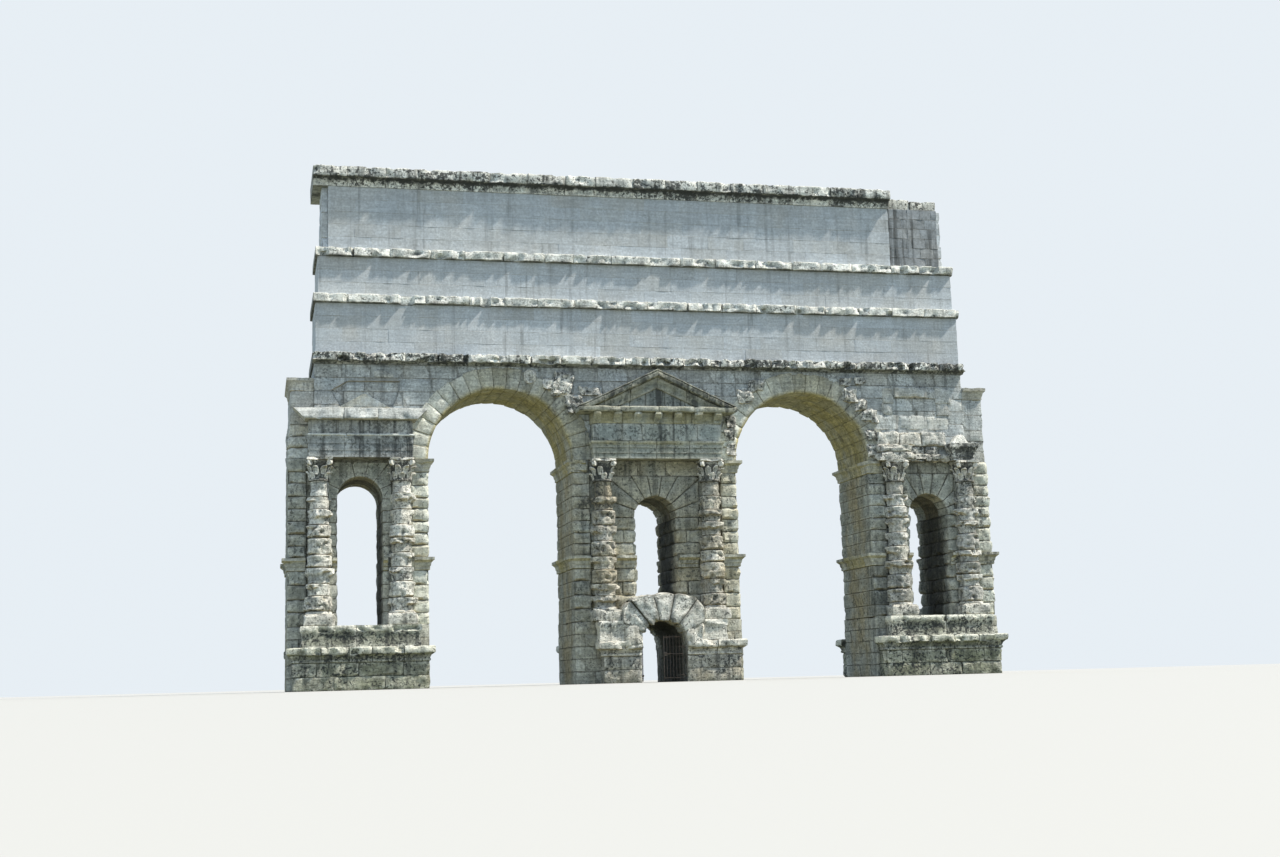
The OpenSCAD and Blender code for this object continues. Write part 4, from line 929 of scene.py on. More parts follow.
def lay_centre_entablature(work):
    """Architrave, frieze, a course with brackets, and the flat cornice."""
    half, frieze, brackets, cornice, consoles = CENTRE_ENTAB, 10.63, 11.42, 11.90, 7
    lay_entablature_run(work, architrave_profile(0.78, 0.12), half, SPRING_Z, cell=0.13, wear=0.012, chips=0.04,
                        tone=(0.75, 0.1), crust=0.4, warm=0.7, below=(SPRING_Z + 0.62, 0.55, 0.42, 0.3))
    lay_wall(work, (-half, half), (-ENTAB_Y, -WALL_Y), (frieze, brackets), 1, 1.2, 1, "-y -x +x",
             Finish(0.17, 0.015, (0, 0.02), 0.01, 0.1, 0.016, 0.05), (0.65, 0.15), 0.42, 0.05)
    band = [(0, 0), (0.03, 0.04), (0.04, 0.10), (0.04, 0.48), (-0.2, 0.48)]
    lay_entablature_run(work, band, half, brackets, typical=1.4, chips=0.04, tone=(0.75, 0.1), crust=0.25, warm=0.85)
    gap = (2 * half - 0.33) / (consoles - 1)
    wide, deep, high = 0.34, 0.40, 0.44
    for i in range(consoles):
        console = cut_block((wide, deep, high), "-y -x +x -z", Finish(0.10, 0.018, (0, 0), 0.012, 0.08, 0.016, 0.04),
                            3.0 + i * 1.7)
        for v in console.verts:
            down = 0.5 - v.co.z / high
            v.co.y = deep / 2 + (v.co.y - deep / 2) * (1 - 0.72 * ease(down) + 0.10 * math.sin(down * 6.0))
        place(console, (-half + wide / 2 + i * gap, -ENTAB_Y - 0.19, cornice - high / 2))
        work.lay(console, 0.75, 0.3, 0.7)

    def wider(co):
        return Vector((co.x * (1 + 0.27 / 3.35 * ease((abs(co.x) - half) / 0.4)), co.y, co.z))

    slab = [(0, 0), (0.36, 0.0), (0.40, 0.03), (0.42, 0.08), (0.42, 0.20), (0.38, 0.25), (-0.3, 0.25)]
    lay_entablature_run(work, slab, half, cornice, cell=0.12, wear=0.012, chips=0.04, tone=(0.55, 0.06), crust=0.5,
                        warm=0.4, fit=wider)


def lay_pediment(work):
    """Raking cornice in a doubled band, over a tympanum of a few blocks."""
    def rise(co):
        return (PEDIMENT_HALF - abs(co.x)) * (PEDIMENT_TOP - PEDIMENT_Z) / PEDIMENT_HALF

    def rake(co):
        return Vector((co.x, co.y, max(PEDIMENT_Z, co.z + PEDIMENT_Z + rise(co))))

    outer = [(0.10, -0.36), (0.30, -0.34), (0.40, -0.28), (0.42, -0.22), (0.42, -0.12), (0.38, -0.08), (0.42, -0.03),
             (0.40, 0.0), (-0.3, 0.0)]
    inner = [(0.0, -0.84), (0.12, -0.82), (0.15, -0.74), (0.15, -0.60), (0.19, -0.52), (0.22, -0.46), (0.22, -0.36),
             (-0.3, -0.36)]
    for a, b in ((-PEDIMENT_HALF, 0.0), (0.0, PEDIMENT_HALF)):
        lay_run(work, inner, a, b, -ENTAB_Y, 0.0, ENTAB_DEEP, 1.25, cell=0.14, wear=0.012, chips=0.03,
                tone=(0.35, 0.1), crust=0.4, warm=0.45, fit=rake)
        lay_run(work, outer, a, b, -ENTAB_Y, 0.0, ENTAB_DEEP, 1.25, cell=0.12, tone=(0.2, 0.2), crust=0.7, warm=0.4,
                fit=rake)

    def under_rake(co):
        top = max(PEDIMENT_Z + 0.02, PEDIMENT_Z + rise(co) - 0.72)
        return Vector((co.x, co.y, PEDIMENT_Z + (co.z - PEDIMENT_Z) * (top - PEDIMENT_Z)))

    half = 2.1
    lay_wall(work, (-half, half), (-ENTAB_Y, -WALL_Y), (PEDIMENT_Z, PEDIMENT_Z + 1.0), 1, 0.85, 1, "-y",
             Finish(0.16, 0.012, (0, 0.015), 0.01, 0.1, 0.014, 0.03), (0.25, 0.15), 0.55, 0.0, fit=under_rake)


def lay_ruin(work):
    """What is left of the right entablature: a block on each column, a broken stub and a rough course."""
    rough = Finish(0.09, 0.02, (0, 0.02), 0.02, 0.06, 0.075, 0.11)
    shelf, bed, top = 10.14, 10.55, 11.20
    block_end, stub_x, stub_end = 12.16, 14.12, 15.22
    lay_wall(work, (10.52, block_end), (-ENTAB_Y, -WALL_Y), (SPRING_Z, bed), 2, 1.64, 1, "-x +x -y -z +z", rough,
             (0.72, 0.15), 0.55, 0.15, uneven=0.2)
    lay_wall(work, (block_end, stub_x), (-2.36, -WALL_Y), (SPRING_Z, shelf), 1, 1.0, 1, "-y -z +z", rough,
             (0.60, 0.1), 0.55, 0.3)
    lay_wall(work, (block_end, 13.63), (-2.18, -WALL_Y), (shelf, bed), 1, 0.75, 1, "-y", rough, (0.60, 0.1), 0.62, 0.1)
    lay_wall(work, (10.67, 14.0), (-2.25, -WALL_Y), (bed, top), 1, 0.98, 1, "-y -x +x +z", rough._replace(rough=0.05),
             (0.85, 0.12), 0.25, 0.15)
    stub = [(0, 0), (0.0, 0.10), (0.02, 0.12), (0.02, 0.3), (0.05, 0.42), (0.14, 0.58), (0.17, 0.62), (0.17, 0.78),
            (-0.3, 0.78)]
    lay_run(work, stub, stub_x, stub_end, -ENTAB_Y + 0.08, SPRING_Z, 0.60, 3.0, flare=BOTH, cell=0.11, wear=0.014,
            chips=0.04, tone=(0.55, 0.05), crust=0.72, warm=0.1)
    high = 0.46
    lump = cut_block((1.0, high, high), "-x +x -y +z", Finish(0.08, 0.015, (0, 0), 0.0, 0.1, 0.06, 0.05), 6.0)
    for v in lump.verts:
        share = clamp(v.co.z / high + 0.5)
        v.co.x = v.co.x * (1 - 0.66 * share) + 0.06 * share
        v.co.y = (v.co.y - high / 2) * (1 - 0.45 * share) + high / 2
    place(lump, (14.62, -2.24, 10.86))
    work.lay(lump, 0.95, 0.3, 0.05)


# ---------------------------------------------------------------- finishes
class Value:
    """The value of a socket, which sums and multiplies as numbers do."""

    def __init__(self, net, socket):
        self.net, self.socket = net, socket

    def __add__(self, other):
        return self.net.math("ADD", self, other)

    def __sub__(self, other):
        return self.net.math("SUBTRACT", self, other)

    def __rsub__(self, other):
        return self.net.math("SUBTRACT", other, self)

    def __mul__(self, other):
        return self.net.math("MULTIPLY", self, other)


class Net:
    """Lays and joins the nodes of one tree."""

    def __init__(self, tree):
        self.tree = tree

    def put(self, kind, settings=None, **sockets):
        node = self.tree.nodes.new("ShaderNode" + kind)
        for key, value in (settings or {}).items():
            setattr(node, key, value)
        for key, value in sockets.items():
            self.join(value, node.inputs[key.replace("_", " ")])
        return node.outputs

    def join(self, value, socket):
        value = value.socket if isinstance(value, Value) else value
        if isinstance(value, bpy.types.NodeSocket):
            self.tree.links.new(value, socket)
        else:
            socket.default_value = value

    def fill(self, kind, settings, values, places=range(9)):
        """A node whose inputs, by their places, take values in turn."""
        outputs = self.put(kind, settings)
        for value, number in zip(values, places):
            self.join(value, outputs[0].node.inputs[number])
        return outputs

    def math(self, operation, *values):
        return Value(self, self.fill("Math", {"operation": operation}, values)[0])

    def spread(self, value, low, high, to_low=0.0, to_high=1.0):
        """A value between two limits, drawn smoothly to another range."""
        limits = (value, low, high, to_low, to_high)
        return Value(self, self.fill("MapRange", {"interpolation_type": "SMOOTHSTEP"}, limits)["Result"])

    def blend(self, share, first, second, kind="MIX"):
        settings = {"data_type": "RGBA", "blend_type": kind, "clamp_factor": True}
        return self.fill("Mix", settings, (share, first, second), (0, 6, 7))[2]

    def lit(self, colour, light):
        """A colour made lighter or darker."""
        grey = self.put("CombineColor", Red=light, Green=light, Blue=light)[0]
        return self.blend(1.0, colour, grey, "MULTIPLY")

    def stretched(self, point, scale):
        return self.put("Mapping", Vector=point, Scale=scale)["Vector"]

    def cloud(self, point, scale, detail=5.0, roughness=0.6, distortion=0.0):
        return Value(self, self.put("TexNoise", Vector=point, Scale=scale, Detail=detail, Roughness=roughness,
                                    Distortion=distortion)["Fac"])


def weathered_travertine():
    """Shader group: bedded, pitted travertine with bleached ledges, ochre undersides, black crust and streaks."""
    group = bpy.data.node_groups.new("weathered_travertine", "ShaderNodeTree")
    face = group.interface
    for name in ("Stone", "Bleached", "Ochre", "Crust"):
        face.new_socket(name, in_out="INPUT", socket_type="NodeSocketColor")
    for name in ("Crust Amount", "Streaks", "Pits", "Joints", "Patches", "Grain", "Crests"):
        face.new_socket(name, in_out="INPUT", socket_type="NodeSocketFloat")
    for name, kind in [("Color", "Color"), ("Roughness", "Float"), ("Height", "Float")]:
        face.new_socket(name, in_out="OUTPUT", socket_type="NodeSocket" + kind)
    net = Net(group)
    given = group.nodes.new("NodeGroupInput").outputs
    made = group.nodes.new("NodeGroupOutput").inputs
    point = net.put("TexCoord")["Object"]
    stone = net.put("Attribute", {"attribute_name": "stone"})
    tone, crust_here, warm_here = (Value(net, part) for part in net.put("SeparateColor", Color=stone["Color"])[:3])
    seam = Value(net, stone["Alpha"])
    shape = net.put("NewGeometry")
    slope = net.put("SeparateXYZ", Vector=shape["Normal"])["Z"]
    # Pointiness paints light and shade: convex crests get a painted highlight toward the bleached colour, concave
    # hollows a painted shade in the crust colour.
    crest = net.spread(shape["Pointiness"], 0.505, 0.56) * given["Crests"]
    hollow = net.spread(shape["Pointiness"], 0.492, 0.45) * given["Crests"]
    upward = net.spread(slope, 0.25, 0.85)
    downward = net.spread(slope, -0.45, -0.9)

    broad = net.cloud(point, 0.42, 4.0, 0.6)
    blotch = net.cloud(point, 1.7, 7.0, 0.62, 0.4)
    fine = net.cloud(point, 11.0, 6.0, 0.68)
    grit = net.cloud(point, 62.0, 3.0, 0.6)
    bed = net.cloud(net.stretched(point, (0.8, 0.8, 9.0)), 1.3, 5.0, 0.6, 0.5)
    rain = net.cloud(net.stretched(point, (3.4, 3.4, 0.17)), 1.0, 5.0, 0.62)
    scab = net.cloud(point, 1.6, 4.0, 0.6, 0.2) * 0.28 + net.cloud(point, 7.0, 6.0, 0.68, 0.3) * 0.72
    cells = net.put("TexVoronoi", {"feature": "F1"}, Vector=net.stretched(point, (1.0, 1.0, 2.0)), Scale=10.0)
    pit = net.spread(cells["Distance"], 0.36, 0.22) * net.spread(net.cloud(point, 4.3, 4.0, 0.6), 0.42, 0.60)
    pit = pit * given["Pits"]

    lively = net.spread(blotch, 0.34, 0.66, 0.82, 1.18) * net.spread(fine, 0.34, 0.66, 0.70, 1.30)
    lively = lively * net.spread(bed, 0.3, 0.7, 0.78, 1.22) * net.spread(grit, 0.3, 0.7, 0.86, 1.14)
    lively = lively * net.spread(rain, 0.3, 0.7, 1.14, 0.86)
    light = (tone * 0.8 + 0.6) * ((lively - 1.0) * given["Grain"] + 1.0)
    # On upward faces the bleached colour is capped and painted up to 30% darker, to hold back the lamp's glare there:
    # painted shade.
    top_light = net.math("MINIMUM", light, 1.35) * net.spread(upward, 0.0, 1.0, 1.0, 0.70)
    patchy = net.spread(broad, 0.48, 0.66) * given["Patches"]
    # Bleached patches and tops, and the painted highlight on the crests.
    bleached_and_highlit = net.math("MAXIMUM", net.math("MAXIMUM", patchy, upward * net.spread(scab, 0.34, 0.46)), crest)
    colour = net.blend(bleached_and_highlit, net.lit(given["Stone"], light), net.lit(given["Bleached"], top_light))
    # Painted shade in the hollows.
    colour = net.blend(hollow * 0.6, colour, given["Crust"])
    warmth = net.math("MAXIMUM", warm_here * net.spread(net.cloud(point, 0.7, 5.0, 0.6), 0.24, 0.62), downward * 0.7)
    colour = net.blend(warmth, colour, net.lit(given["Ochre"], light))
    streak = net.spread(rain + (crust_here - 0.5) * 0.16, 0.50, 0.64) * (1.0 - upward)
    colour = net.blend(streak * (crust_here * 1.8 + 0.4) * given["Streaks"], colour, given["Crust"])
    level = scab + (crust_here - 0.5) * 0.20 + (bed - 0.5) * 0.15 - crest * 0.04
    colour = net.blend(net.spread(level, 0.530, 0.555) * given["Crust Amount"], colour, given["Crust"])
    joint = net.spread(seam + (fine - 0.5) * 0.30, 0.22, 0.04) * net.spread(blotch, 0.32, 0.62, 0.25, 1.0)
    colour = net.blend(joint * given["Joints"], colour, net.blend(0.12, given["Crust"], given["Ochre"]))
    net.join(net.blend(pit * 0.8, colour, given["Crust"]), made["Color"])
    net.join(net.spread(blotch, 0.3, 0.7, 0.80, 0.95), made["Roughness"])
    net.join(bed * 0.30 + blotch * 0.50 + fine * 0.60 + grit * 0.07 + scab * 0.55 - pit * 0.5, made["Height"])
    return group


TRAVERTINE = weathered_travertine()


def new_paint(name):
    """A material with its net of nodes and its surface's inputs."""
    paint = bpy.data.materials.new(name)
    paint.use_nodes = True
    return paint, Net(paint.node_tree), paint.node_tree.nodes["Principled BSDF"].inputs


def travertine(name, stone, bleached, ochre=(0.36, 0.29, 0.15), relief=0.035, **amounts):
    """One finish of the same stone."""
    paint, net, surface = new_paint(name)
    surface["Specular IOR Level"].default_value = 0.25
    mix = net.tree.nodes.new("ShaderNodeGroup")
    mix.node_tree = TRAVERTINE
    colours = {"Stone": stone, "Bleached": bleached, "Ochre": ochre, "Crust": (0.058, 0.063, 0.062)}
    for key, value in colours.items():
        mix.inputs[key].default_value = (*value, 1)
    usual = dict(crust_amount=0.6, streaks=0.35, pits=0.5, joints=0.7, patches=0.5, grain=1.0, crests=0.4)
    for key, value in (usual | amounts).items():
        mix.inputs[key.replace("_", " ").title()].default_value = value
    bump = net.put("Bump", Strength=0.9, Distance=relief, Height=mix.outputs["Height"])
    for value, key in [(mix.outputs["Color"], "Base Color"), (mix.outputs["Roughness"], "Roughness"),
                       (bump["Normal"], "Normal")]:
        net.join(value, surface[key])
    return paint


WALL_STONE = travertine("grey_wall_stone", (0.455, 0.505, 0.53), (0.64, 0.66, 0.65), crust_amount=0.55, joints=0.5,
                        grain=0.8, patches=0.6)
PIER_STONE = travertine("dark_pier_stone", (0.36, 0.385, 0.355), (0.64, 0.65, 0.59), crust_amount=0.7, pits=0.8,
                        relief=0.06, grain=0.8, joints=0.85, crests=0.6)
ATTIC_STONE = travertine("smooth_attic_stone", (0.62, 0.685, 0.75), (0.70, 0.725, 0.745), crust_amount=0.2,
                         streaks=0.4, pits=0.12, joints=0.22, relief=0.008, grain=0.45, crests=0.0)
ROUGH_STONE = travertine("rough_white_stone", (0.45, 0.465, 0.445), (0.75, 0.75, 0.71), crust_amount=0.85, pits=1.0,
                         relief=0.07, patches=0.9, crests=0.9, joints=0.75)
PODIUM_STONE = travertine("mossy_podium_stone", (0.33, 0.345, 0.295), (0.76, 0.76, 0.69), (0.26, 0.27, 0.14),
                          crust_amount=0.95, pits=1.0, relief=0.07, streaks=0.3, patches=0.8, crests=0.9, joints=1.0)
ARCH_STONE = travertine("arch_stone", (0.43, 0.45, 0.42), (0.62, 0.61, 0.54), (0.44, 0.38, 0.17), crust_amount=0.5,
                        joints=0.5, grain=0.8)
CORNICE_STONE = travertine("crusted_cornice_stone", (0.50, 0.53, 0.52), (0.78, 0.78, 0.73), (0.17, 0.165, 0.11),
                           crust_amount=0.9, pits=0.8, relief=0.05, patches=0.8, crests=0.8)
FRIEZE_STONE = travertine("streaked_frieze_stone", (0.43, 0.465, 0.475), (0.65, 0.67, 0.65), (0.33, 0.28, 0.17),
                          crust_amount=0.55, streaks=0.5, joints=0.5, relief=0.03, grain=0.7)
GABLE_STONE = travertine("dark_gable_stone", (0.33, 0.37, 0.36), (0.54, 0.56, 0.52), (0.33, 0.30, 0.17),
                         crust_amount=0.65, streaks=0.5, grain=0.7, crests=0.8)


# ---------------------------------------------------------------- everything in its place
def build(name, salt, paint, lay, *nodes, flip_x=False, flip_y=False, **riding):
    """Makes one finished piece, whose stones are laid by its own function."""
    work = Stonework(name, salt, flip_x, flip_y)
    lay(work)
    work.finish(paint, *nodes, **riding)


def band(profile, end0, end1, y, z, typical, **look):
    """How to lay one moulding on the front and on the back of the wall."""
    def lay(work):
        for _ in work.faces():
            lay_run(work, profile, end0, end1, -y, z, y, typical, **look)
    return lay


def register(rows, half, y, z0, z1):
    """How to lay one register of the attic; the uppermost is broken at its right end and has a pier at each end."""
    def lay(work):
        upper = z1 == TOP_CORNICE_Z
        lay_wall(work, (-half, LOST_X if upper else half), y, (z0, z1), rows, 2.1, 2, "-x +x -y +y", SMOOTH,
                 (0.5, 0.06), 0.1, 0.1)
        if upper:
            lay_wall(work, (LOST_X, half), y, (z0, z1), 6, 0.62, 2, "+x -y +y",
                     SMOOTH._replace(cell=0.3, arris=0.012, chips=0.03), (-0.08, 0.1), 0.66, 0.0)
            end, end_y = 14.72, 1.25
            for xs, side in [((-end, -half), "-x"), ((half, end), "+x")]:
                lay_wall(work, xs, end_y, (z0, z1), rows, 2.0, 2, side + " -y +y +z", PLAIN, (0.55, 0.1), 0.4, 0.15)
    return lay


def lost_lip(co):
    """Two stretches of the lower string course have lost their lip."""
    face = -1.93
    lost = max(ease((reach - abs(co.x - middle)) / 0.12) for middle, reach in ((-11.05, 0.36), (-7.55, 0.24)))
    return Vector((co.x, min(face, co.y + 0.2) if lost > 0.5 and co.y < face else co.y, co.z - 0.05 * lost))


def lay_broken_corner(work):
    for xs, y, top, typical in [((LOST_X, 13.12), 1.44, 22.65, 0.6), ((13.12, 14.42), 1.48, 22.58, 0.65)]:
        lay_wall(work, xs, y, (TOP_CORNICE_Z, top), 1, typical, 2, "-y +y +z +x", PLAIN, (0.55, 0.1), 0.6, 0.1)


# ring of the window: crown, top, stones, roughness; then warmth, and tone of the inner and outer strips
for name, salt, flip, sizes in [("left_pier", 3, True, (9.11, 9.73, 7, 0.12, 0.12, 1.5, 0.6)),
                                ("right_pier", 5, False, (8.36, 9.31, 9, 0.8, 0.08, 0.5, 1.15))]:
    build(name + "_stones", salt, PIER_STONE, lambda work: lay_side_pier(work, *sizes), name, flip_x=flip)
    build(name + "_impost_stones", salt + 20, ARCH_STONE,
          lambda work: lay_imposts(work, SIDE_IN, SIDE_OUT, SIDE_X, SIDE_COL, False), name + "_imposts", flip_x=flip)
build("centre_pier_stones", 8, PIER_STONE, lay_centre_pier, "centre_pier")
build("centre_pier_impost_stones", 28, ARCH_STONE,
      lambda work: lay_imposts(work, -CENTRE_HALF, CENTRE_HALF, 0.0, CENTRE_COL, True), "centre_pier_imposts")

build("spandrel_stones", 40, WALL_STONE, lay_upper_wall, "spandrel_wall")
build("haunch_stones", 53, ROUGH_STONE, lay_haunch_stones)
for name, salt, flip in [("left_arch_ring", 41, True), ("right_arch_ring", 42, False)]:
    build(name + "_voussoirs", salt, ARCH_STONE, lay_great_ring, name, flip_x=flip)
for name, salt, flip in [("left_wing", 43, True), ("right_wing", 44, False)]:
    build(name + "_stones", salt, WALL_STONE, lambda work: lay_wing(work, flip), name, flip_x=flip)

build("main_cornice_stones", 45, CORNICE_STONE,
      band(cornice_profile(0.46, 0.43, 0.22), -15.13, 15.13, WALL_Y, CORNICE_Z, 1.35, cell=0.10, wear=0.05, chips=0.16,
           tone=(0.8, 0.25), crust=0.58, warm=0.0, mixed=0.42, below=(CORNICE_Z + 0.12, 0.0, 0.55, 0.0)),
      "main_cornice")
for name, salt, *sizes in [("attic_lower_register", 46, 4, 15.0, 1.90, LOWER_REG_Z, LOWER_STRING_Z),
                           ("attic_middle_register", 47, 3, 14.9, 1.72, MIDDLE_REG_Z, UPPER_STRING_Z),
                           ("attic_upper_register", 48, 5, 14.45, 1.50, UPPER_REG_Z, TOP_CORNICE_Z)]:
    build(name + "_slabs", salt, ATTIC_STONE, register(*sizes), name)
for name, salt, half, y, z, fit in [("lower_string_course", 49, 15.095, 1.90, LOWER_STRING_Z, lost_lip),
                                    ("upper_string_course", 50, 14.995, 1.72, UPPER_STRING_Z, None)]:
    build(name + "_stones", salt, CORNICE_STONE,
          band(string_profile(0.40, 0.21), -half, half, y, z, 1.7, cell=0.12, wear=0.022, chips=0.10,
               tone=(0.85, 0.12), crust=0.20, warm=0.0, mixed=0.15, below=(z + 0.07, -0.2, 0.5, 0.0), fit=fit), name)
# The band under the corona is painted dark: painted shade under its lip.
build("top_cornice_stones", 51, CORNICE_STONE,
      band(cornice_profile(0.83, 0.42, 0.45), -15.11, LOST_X, 1.50, TOP_CORNICE_Z, 1.6, cell=0.13, wear=0.03,
           tone=(0.7, 0.18), crust=0.56, warm=0.0, below=(TOP_CORNICE_Z + 0.43, -0.1, 0.95, 0.0),
           lowest=TOP_CORNICE_Z + 0.24), "top_cornice")
build("broken_corner_stones", 52, CORNICE_STONE, lay_broken_corner, "broken_corner_blocks")

salt = 60
for side, back in [("front", False), ("back", True)]:
    for bay, flip in [("left", True), ("centre", False), ("right", False)]:
        salt += 4
        whole = bay != "centre"
        middle, gap, base, course = (SIDE_X, SIDE_COL, 2.84, 2.54) if whole else (0.0, CENTRE_COL, 3.49, 2.93)
        podium = (-FRONT_BASE_LEFT if (side, bay) == ("front", "centre") else middle - base, middle + base,
                  middle - course, middle + course, not whole)

        def lay_columns(work):
            for s in (-1, 1):
                lay_column(work, middle + s * gap, -COL_Y, salt * 1.3 + s, 0.85 if flip else 0.55,
                           0.0 if whole else 0.35)

        entablature, paint = (lay_side_entablature, FRIEZE_STONE) if whole else (lay_centre_entablature, GABLE_STONE)
        if (side, bay) == ("front", "right"):
            entablature, paint = lay_ruin, ROUGH_STONE
        base_stone = PODIUM_STONE if whole else ROUGH_STONE
        for more, kind, node, stone, lay in [
                (0, "podium", "podium", base_stone, lambda work: lay_podium(work, *podium)),
                (1, "column", "columns", ROUGH_STONE, lay_columns),
                (2, "entablature", "entablature", paint, entablature)]:
            build("%s_%s_%s_stones" % (side, bay, kind), salt + more, stone, lay, "%s_%s_%s" % (side, bay, node),
                  flip_x=flip, flip_y=back)
    build(side + "_pediment_stones", salt + 3, GABLE_STONE, lay_pediment, side + "_pediment", flip_y=back)
    build(side + "_low_arch_stones", salt + 4, ROUGH_STONE, lay_low_ring, side + "_low_arch_ring", flip_y=back)


# ---------------------------------------------------------------- the iron gate
def rusted_iron():
    """Dark forged iron under uneven rust, rubbed brighter on its edges."""
    paint, net, surface = new_paint("rusted_iron")
    point = net.put("TexCoord")["Object"]
    rust = net.spread(net.cloud(point, 9.0, 8.0, 0.7, 0.4), 0.42, 0.62)
    grain = net.cloud(point, 140.0, 4.0, 0.7)
    runs = net.spread(net.cloud(net.stretched(point, (22.0, 22.0, 1.6)), 1.0, 5.0, 0.65), 0.45, 0.7)
    rubbed = net.spread(net.put("NewGeometry")["Pointiness"], 0.52, 0.60)
    iron = net.blend(net.spread(grain, 0.3, 0.7), (0.035, 0.034, 0.033, 1), (0.065, 0.060, 0.056, 1))
    brown = net.blend(net.spread(grain, 0.3, 0.7), (0.12, 0.085, 0.065, 1), (0.24, 0.17, 0.13, 1))
    colour = net.blend(net.math("MAXIMUM", rust, runs * 0.7), iron, brown)
    net.join(net.blend(rubbed * 0.5, colour, (0.20, 0.18, 0.16, 1)), surface["Base Color"])
    net.join(net.spread(rust, 0.0, 1.0, 0.5, 0.9), surface["Roughness"])
    net.join(net.spread(rust, 0.0, 1.0, 0.75, 0.1), surface["Metallic"])
    net.join(net.put("Bump", Strength=0.6, Distance=0.002, Height=grain + rust * 0.8)["Normal"], surface["Normal"])
    return paint


IRON = rusted_iron()
HINGE_X, GATE_Y = 0.92, -2.60
BAR_R = 0.012
FIRST_BAR, BAR_STEP, LEAF_BARS = 0.045, 0.14283, 7
RAILS, COLLAR_Z, TIP_Z = (0.1825, 1.2225, 1.9545), 0.70, 2.04
HINGES, LEAF_END = (0.295, 1.537), 0.902


def lay_leaf_iron(work, spot, mirrored):
    """Rivets, collars, meeting stile, hinge straps and lock plate of one leaf, from its hinge axis along X."""
    across = turned(90, "X")

    def put(bit, x, y, z, turn=Matrix.Identity(4)):
        place(bit, spot @ Matrix.Translation((x, y, z)) @ turn)
        if mirrored:
            bmesh.ops.reverse_faces(bit, faces=bit.faces[:])
        work.lay(bit)

    def put_disc(radius, depth, width, x, y, z, turn=across):
        put(softened(disc(radius, depth), width), x, y, z, turn)

    for i in range(LEAF_BARS):
        x = FIRST_BAR + i * BAR_STEP
        for z in RAILS:
            for side in (-1, 1):
                if z != RAILS[1] or i < LEAF_BARS - 1:
                    put_disc(0.009, 0.008, 0.003, x, side * 0.0145, z)
        for more, height, z in [(0.005, 0.026, COLLAR_Z), (0.003, 0.014, TIP_Z)]:
            put_disc(BAR_R + more, height, 0.004, x, 0, z, Matrix.Identity(4))
    lock_x, lock_z, key_x, lever_x = 0.838, RAILS[1], 0.825, 0.850
    for side in (-1, 1):
        for size, width, x, y, z in [((0.030, 0.006, 1.86), 0.002, LEAF_END - 0.015, 0.0155, 1.05),
                                     ((0.118, 0.005, 0.172), 0.002, lock_x, 0.0215, lock_z),
                                     ((0.007, 0.002, 0.020), 0.0005, key_x, 0.0284, lock_z - 0.024),
                                     ((0.095, 0.010, 0.014), 0.004, 0.812, 0.0370, lock_z + 0.025)]:
            put(softened(box(size), width), x, side * y, z)
        for z in HINGES:
            strap = box((0.26, 0.005, 0.034))
            for v in strap.verts:
                if v.co.x > 0:
                    v.co.z *= 0.55
            put(softened(strap, 0.002), 0.17, side * 0.0150, z)
            for k in range(3):
                put_disc(0.007, 0.008, 0.002, 0.075 + k * 0.09, side * 0.0185, z)
        for dx in (-0.045, 0.045):
            for dz in (-0.070, 0.070):
                put_disc(0.007, 0.007, 0.002, lock_x + dx, side * 0.0245, lock_z + dz)
        put_disc(0.013, 0.006, 0.002, key_x, side * 0.0250, lock_z - 0.020)
        put_disc(0.016, 0.012, 0.004, lever_x, side * 0.0280, lock_z + 0.025)


for name, mirrored in [("left", False), ("right", True)]:
    spot = (Matrix.Translation((HINGE_X, GATE_Y, 0)) @ Matrix.Diagonal((-1, 1, 1, 1)) if mirrored
            else Matrix.Translation((-HINGE_X, GATE_Y, 0)) @ turned(90, "Z"))
    build(name + "_leaf_ironwork", 90, IRON, lambda work: lay_leaf_iron(work, spot, mirrored), slot="gate_iron",
          body=name + "_leaf")
for name in ("gate_hinge_pins", "left_gate_leaf", "right_gate_leaf"):
    for surface in bpy.data.objects[name].material_slots:
        surface.material = IRON


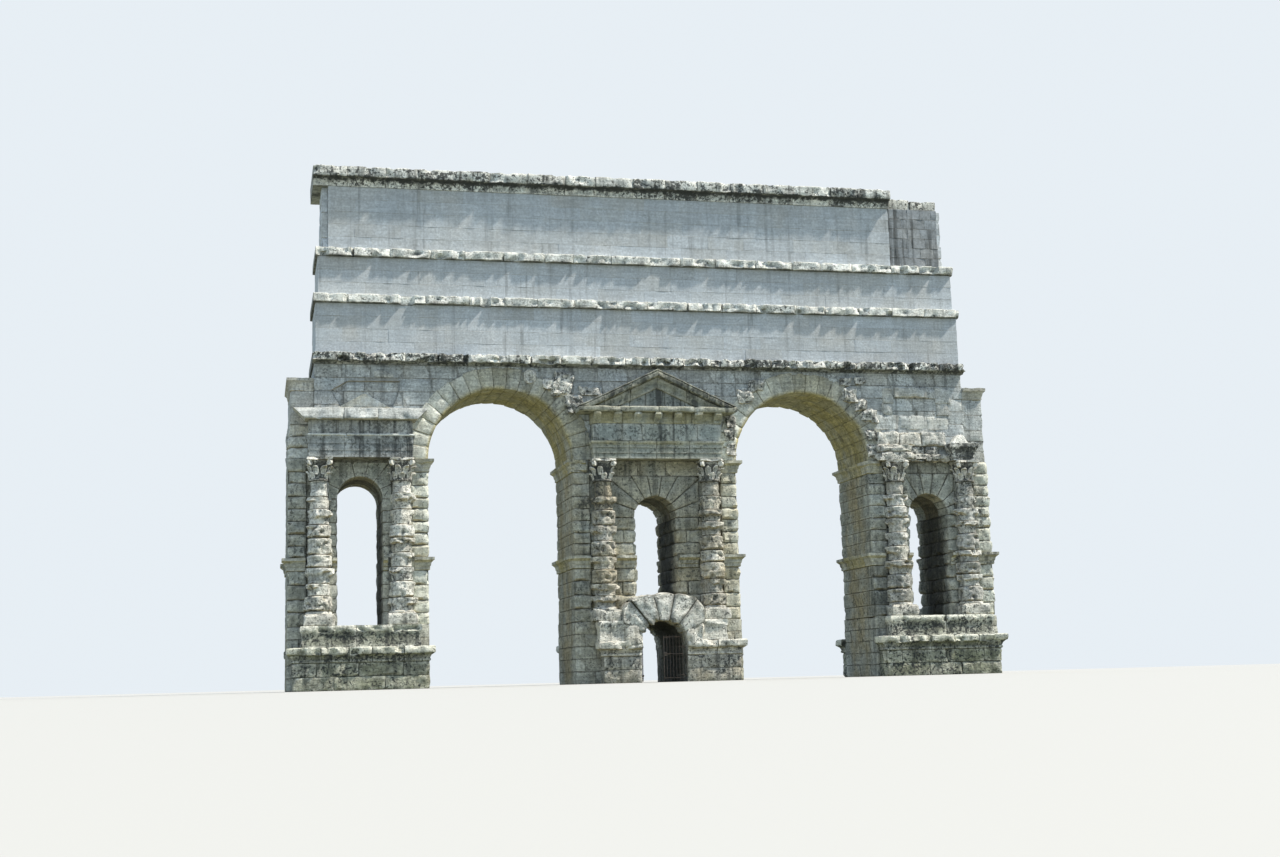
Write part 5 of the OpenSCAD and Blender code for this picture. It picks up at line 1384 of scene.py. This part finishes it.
# ---------------------------------------------------------------- floor, light and camera
def studio():
    """Pale floor and sky, one high raking lamp from the right, and the camera where the photograph was taken."""
    scene = bpy.context.scene
    plate = bmesh.new()
    bmesh.ops.create_grid(plate, x_segments=2, y_segments=2, size=400)
    floor_mesh = bpy.data.meshes.new("floor")
    plate.to_mesh(floor_mesh)
    plate.free()
    floor = bpy.data.objects.new("floor", floor_mesh)
    scene.collection.objects.link(floor)
    paint, net, surface = new_paint("pale_floor")
    surface["Roughness"].default_value = 0.9
    shown = net.put("LightPath")["Is Camera Ray"]
    net.join(net.blend(shown, (0.19, 0.20, 0.15, 1), (0.47, 0.47, 0.46, 1)), surface["Base Color"])
    floor_mesh.materials.append(paint)

    world = scene.world = bpy.data.worlds.new("sky")
    world.use_nodes = True
    world.node_tree.nodes.remove(world.node_tree.nodes["Background"])
    net = Net(world.node_tree)
    soft = net.put("Background", Color=(0.74, 0.90, 1.08, 1), Strength=0.66)[0]
    seen = net.put("Background", Color=(0.80, 0.86, 0.91, 1), Strength=1.0)[0]
    mix = net.fill("MixShader", None, (net.put("LightPath")["Is Camera Ray"], soft, seen))
    net.join(mix[0], world.node_tree.nodes["World Output"].inputs["Surface"])

    sun = bpy.data.lights.new("high_lamp", "SUN")
    sun.energy, sun.angle, sun.color = 5.2, math.radians(2.5), (1.0, 0.93, 0.81)
    lamp = bpy.data.objects.new("high_lamp", sun)
    falls = Vector((-0.50, 0.17, -0.85))
    lamp.rotation_euler = falls.to_track_quat("-Z", "Y").to_euler()
    scene.collection.objects.link(lamp)

    yaw, pitch, roll, stand = 13.29, 8.64, -1.51, (-17.57, -73.66, 0.11)
    matrix = Matrix.Translation(stand)
    for degrees, axis in [(-yaw, "Z"), (90 + pitch, "X"), (roll, "Z")]:
        matrix = matrix @ turned(degrees, axis)
    lens = bpy.data.cameras.new("camera")
    lens.lens, lens.sensor_width, lens.sensor_fit, lens.clip_end = 46.57, 36.0, "HORIZONTAL", 2000
    camera = bpy.data.objects.new("camera", lens)
    camera.matrix_world = matrix
    scene.collection.objects.link(camera)
    scene.camera = camera
    scene.view_settings.view_transform = "Standard"


studio()
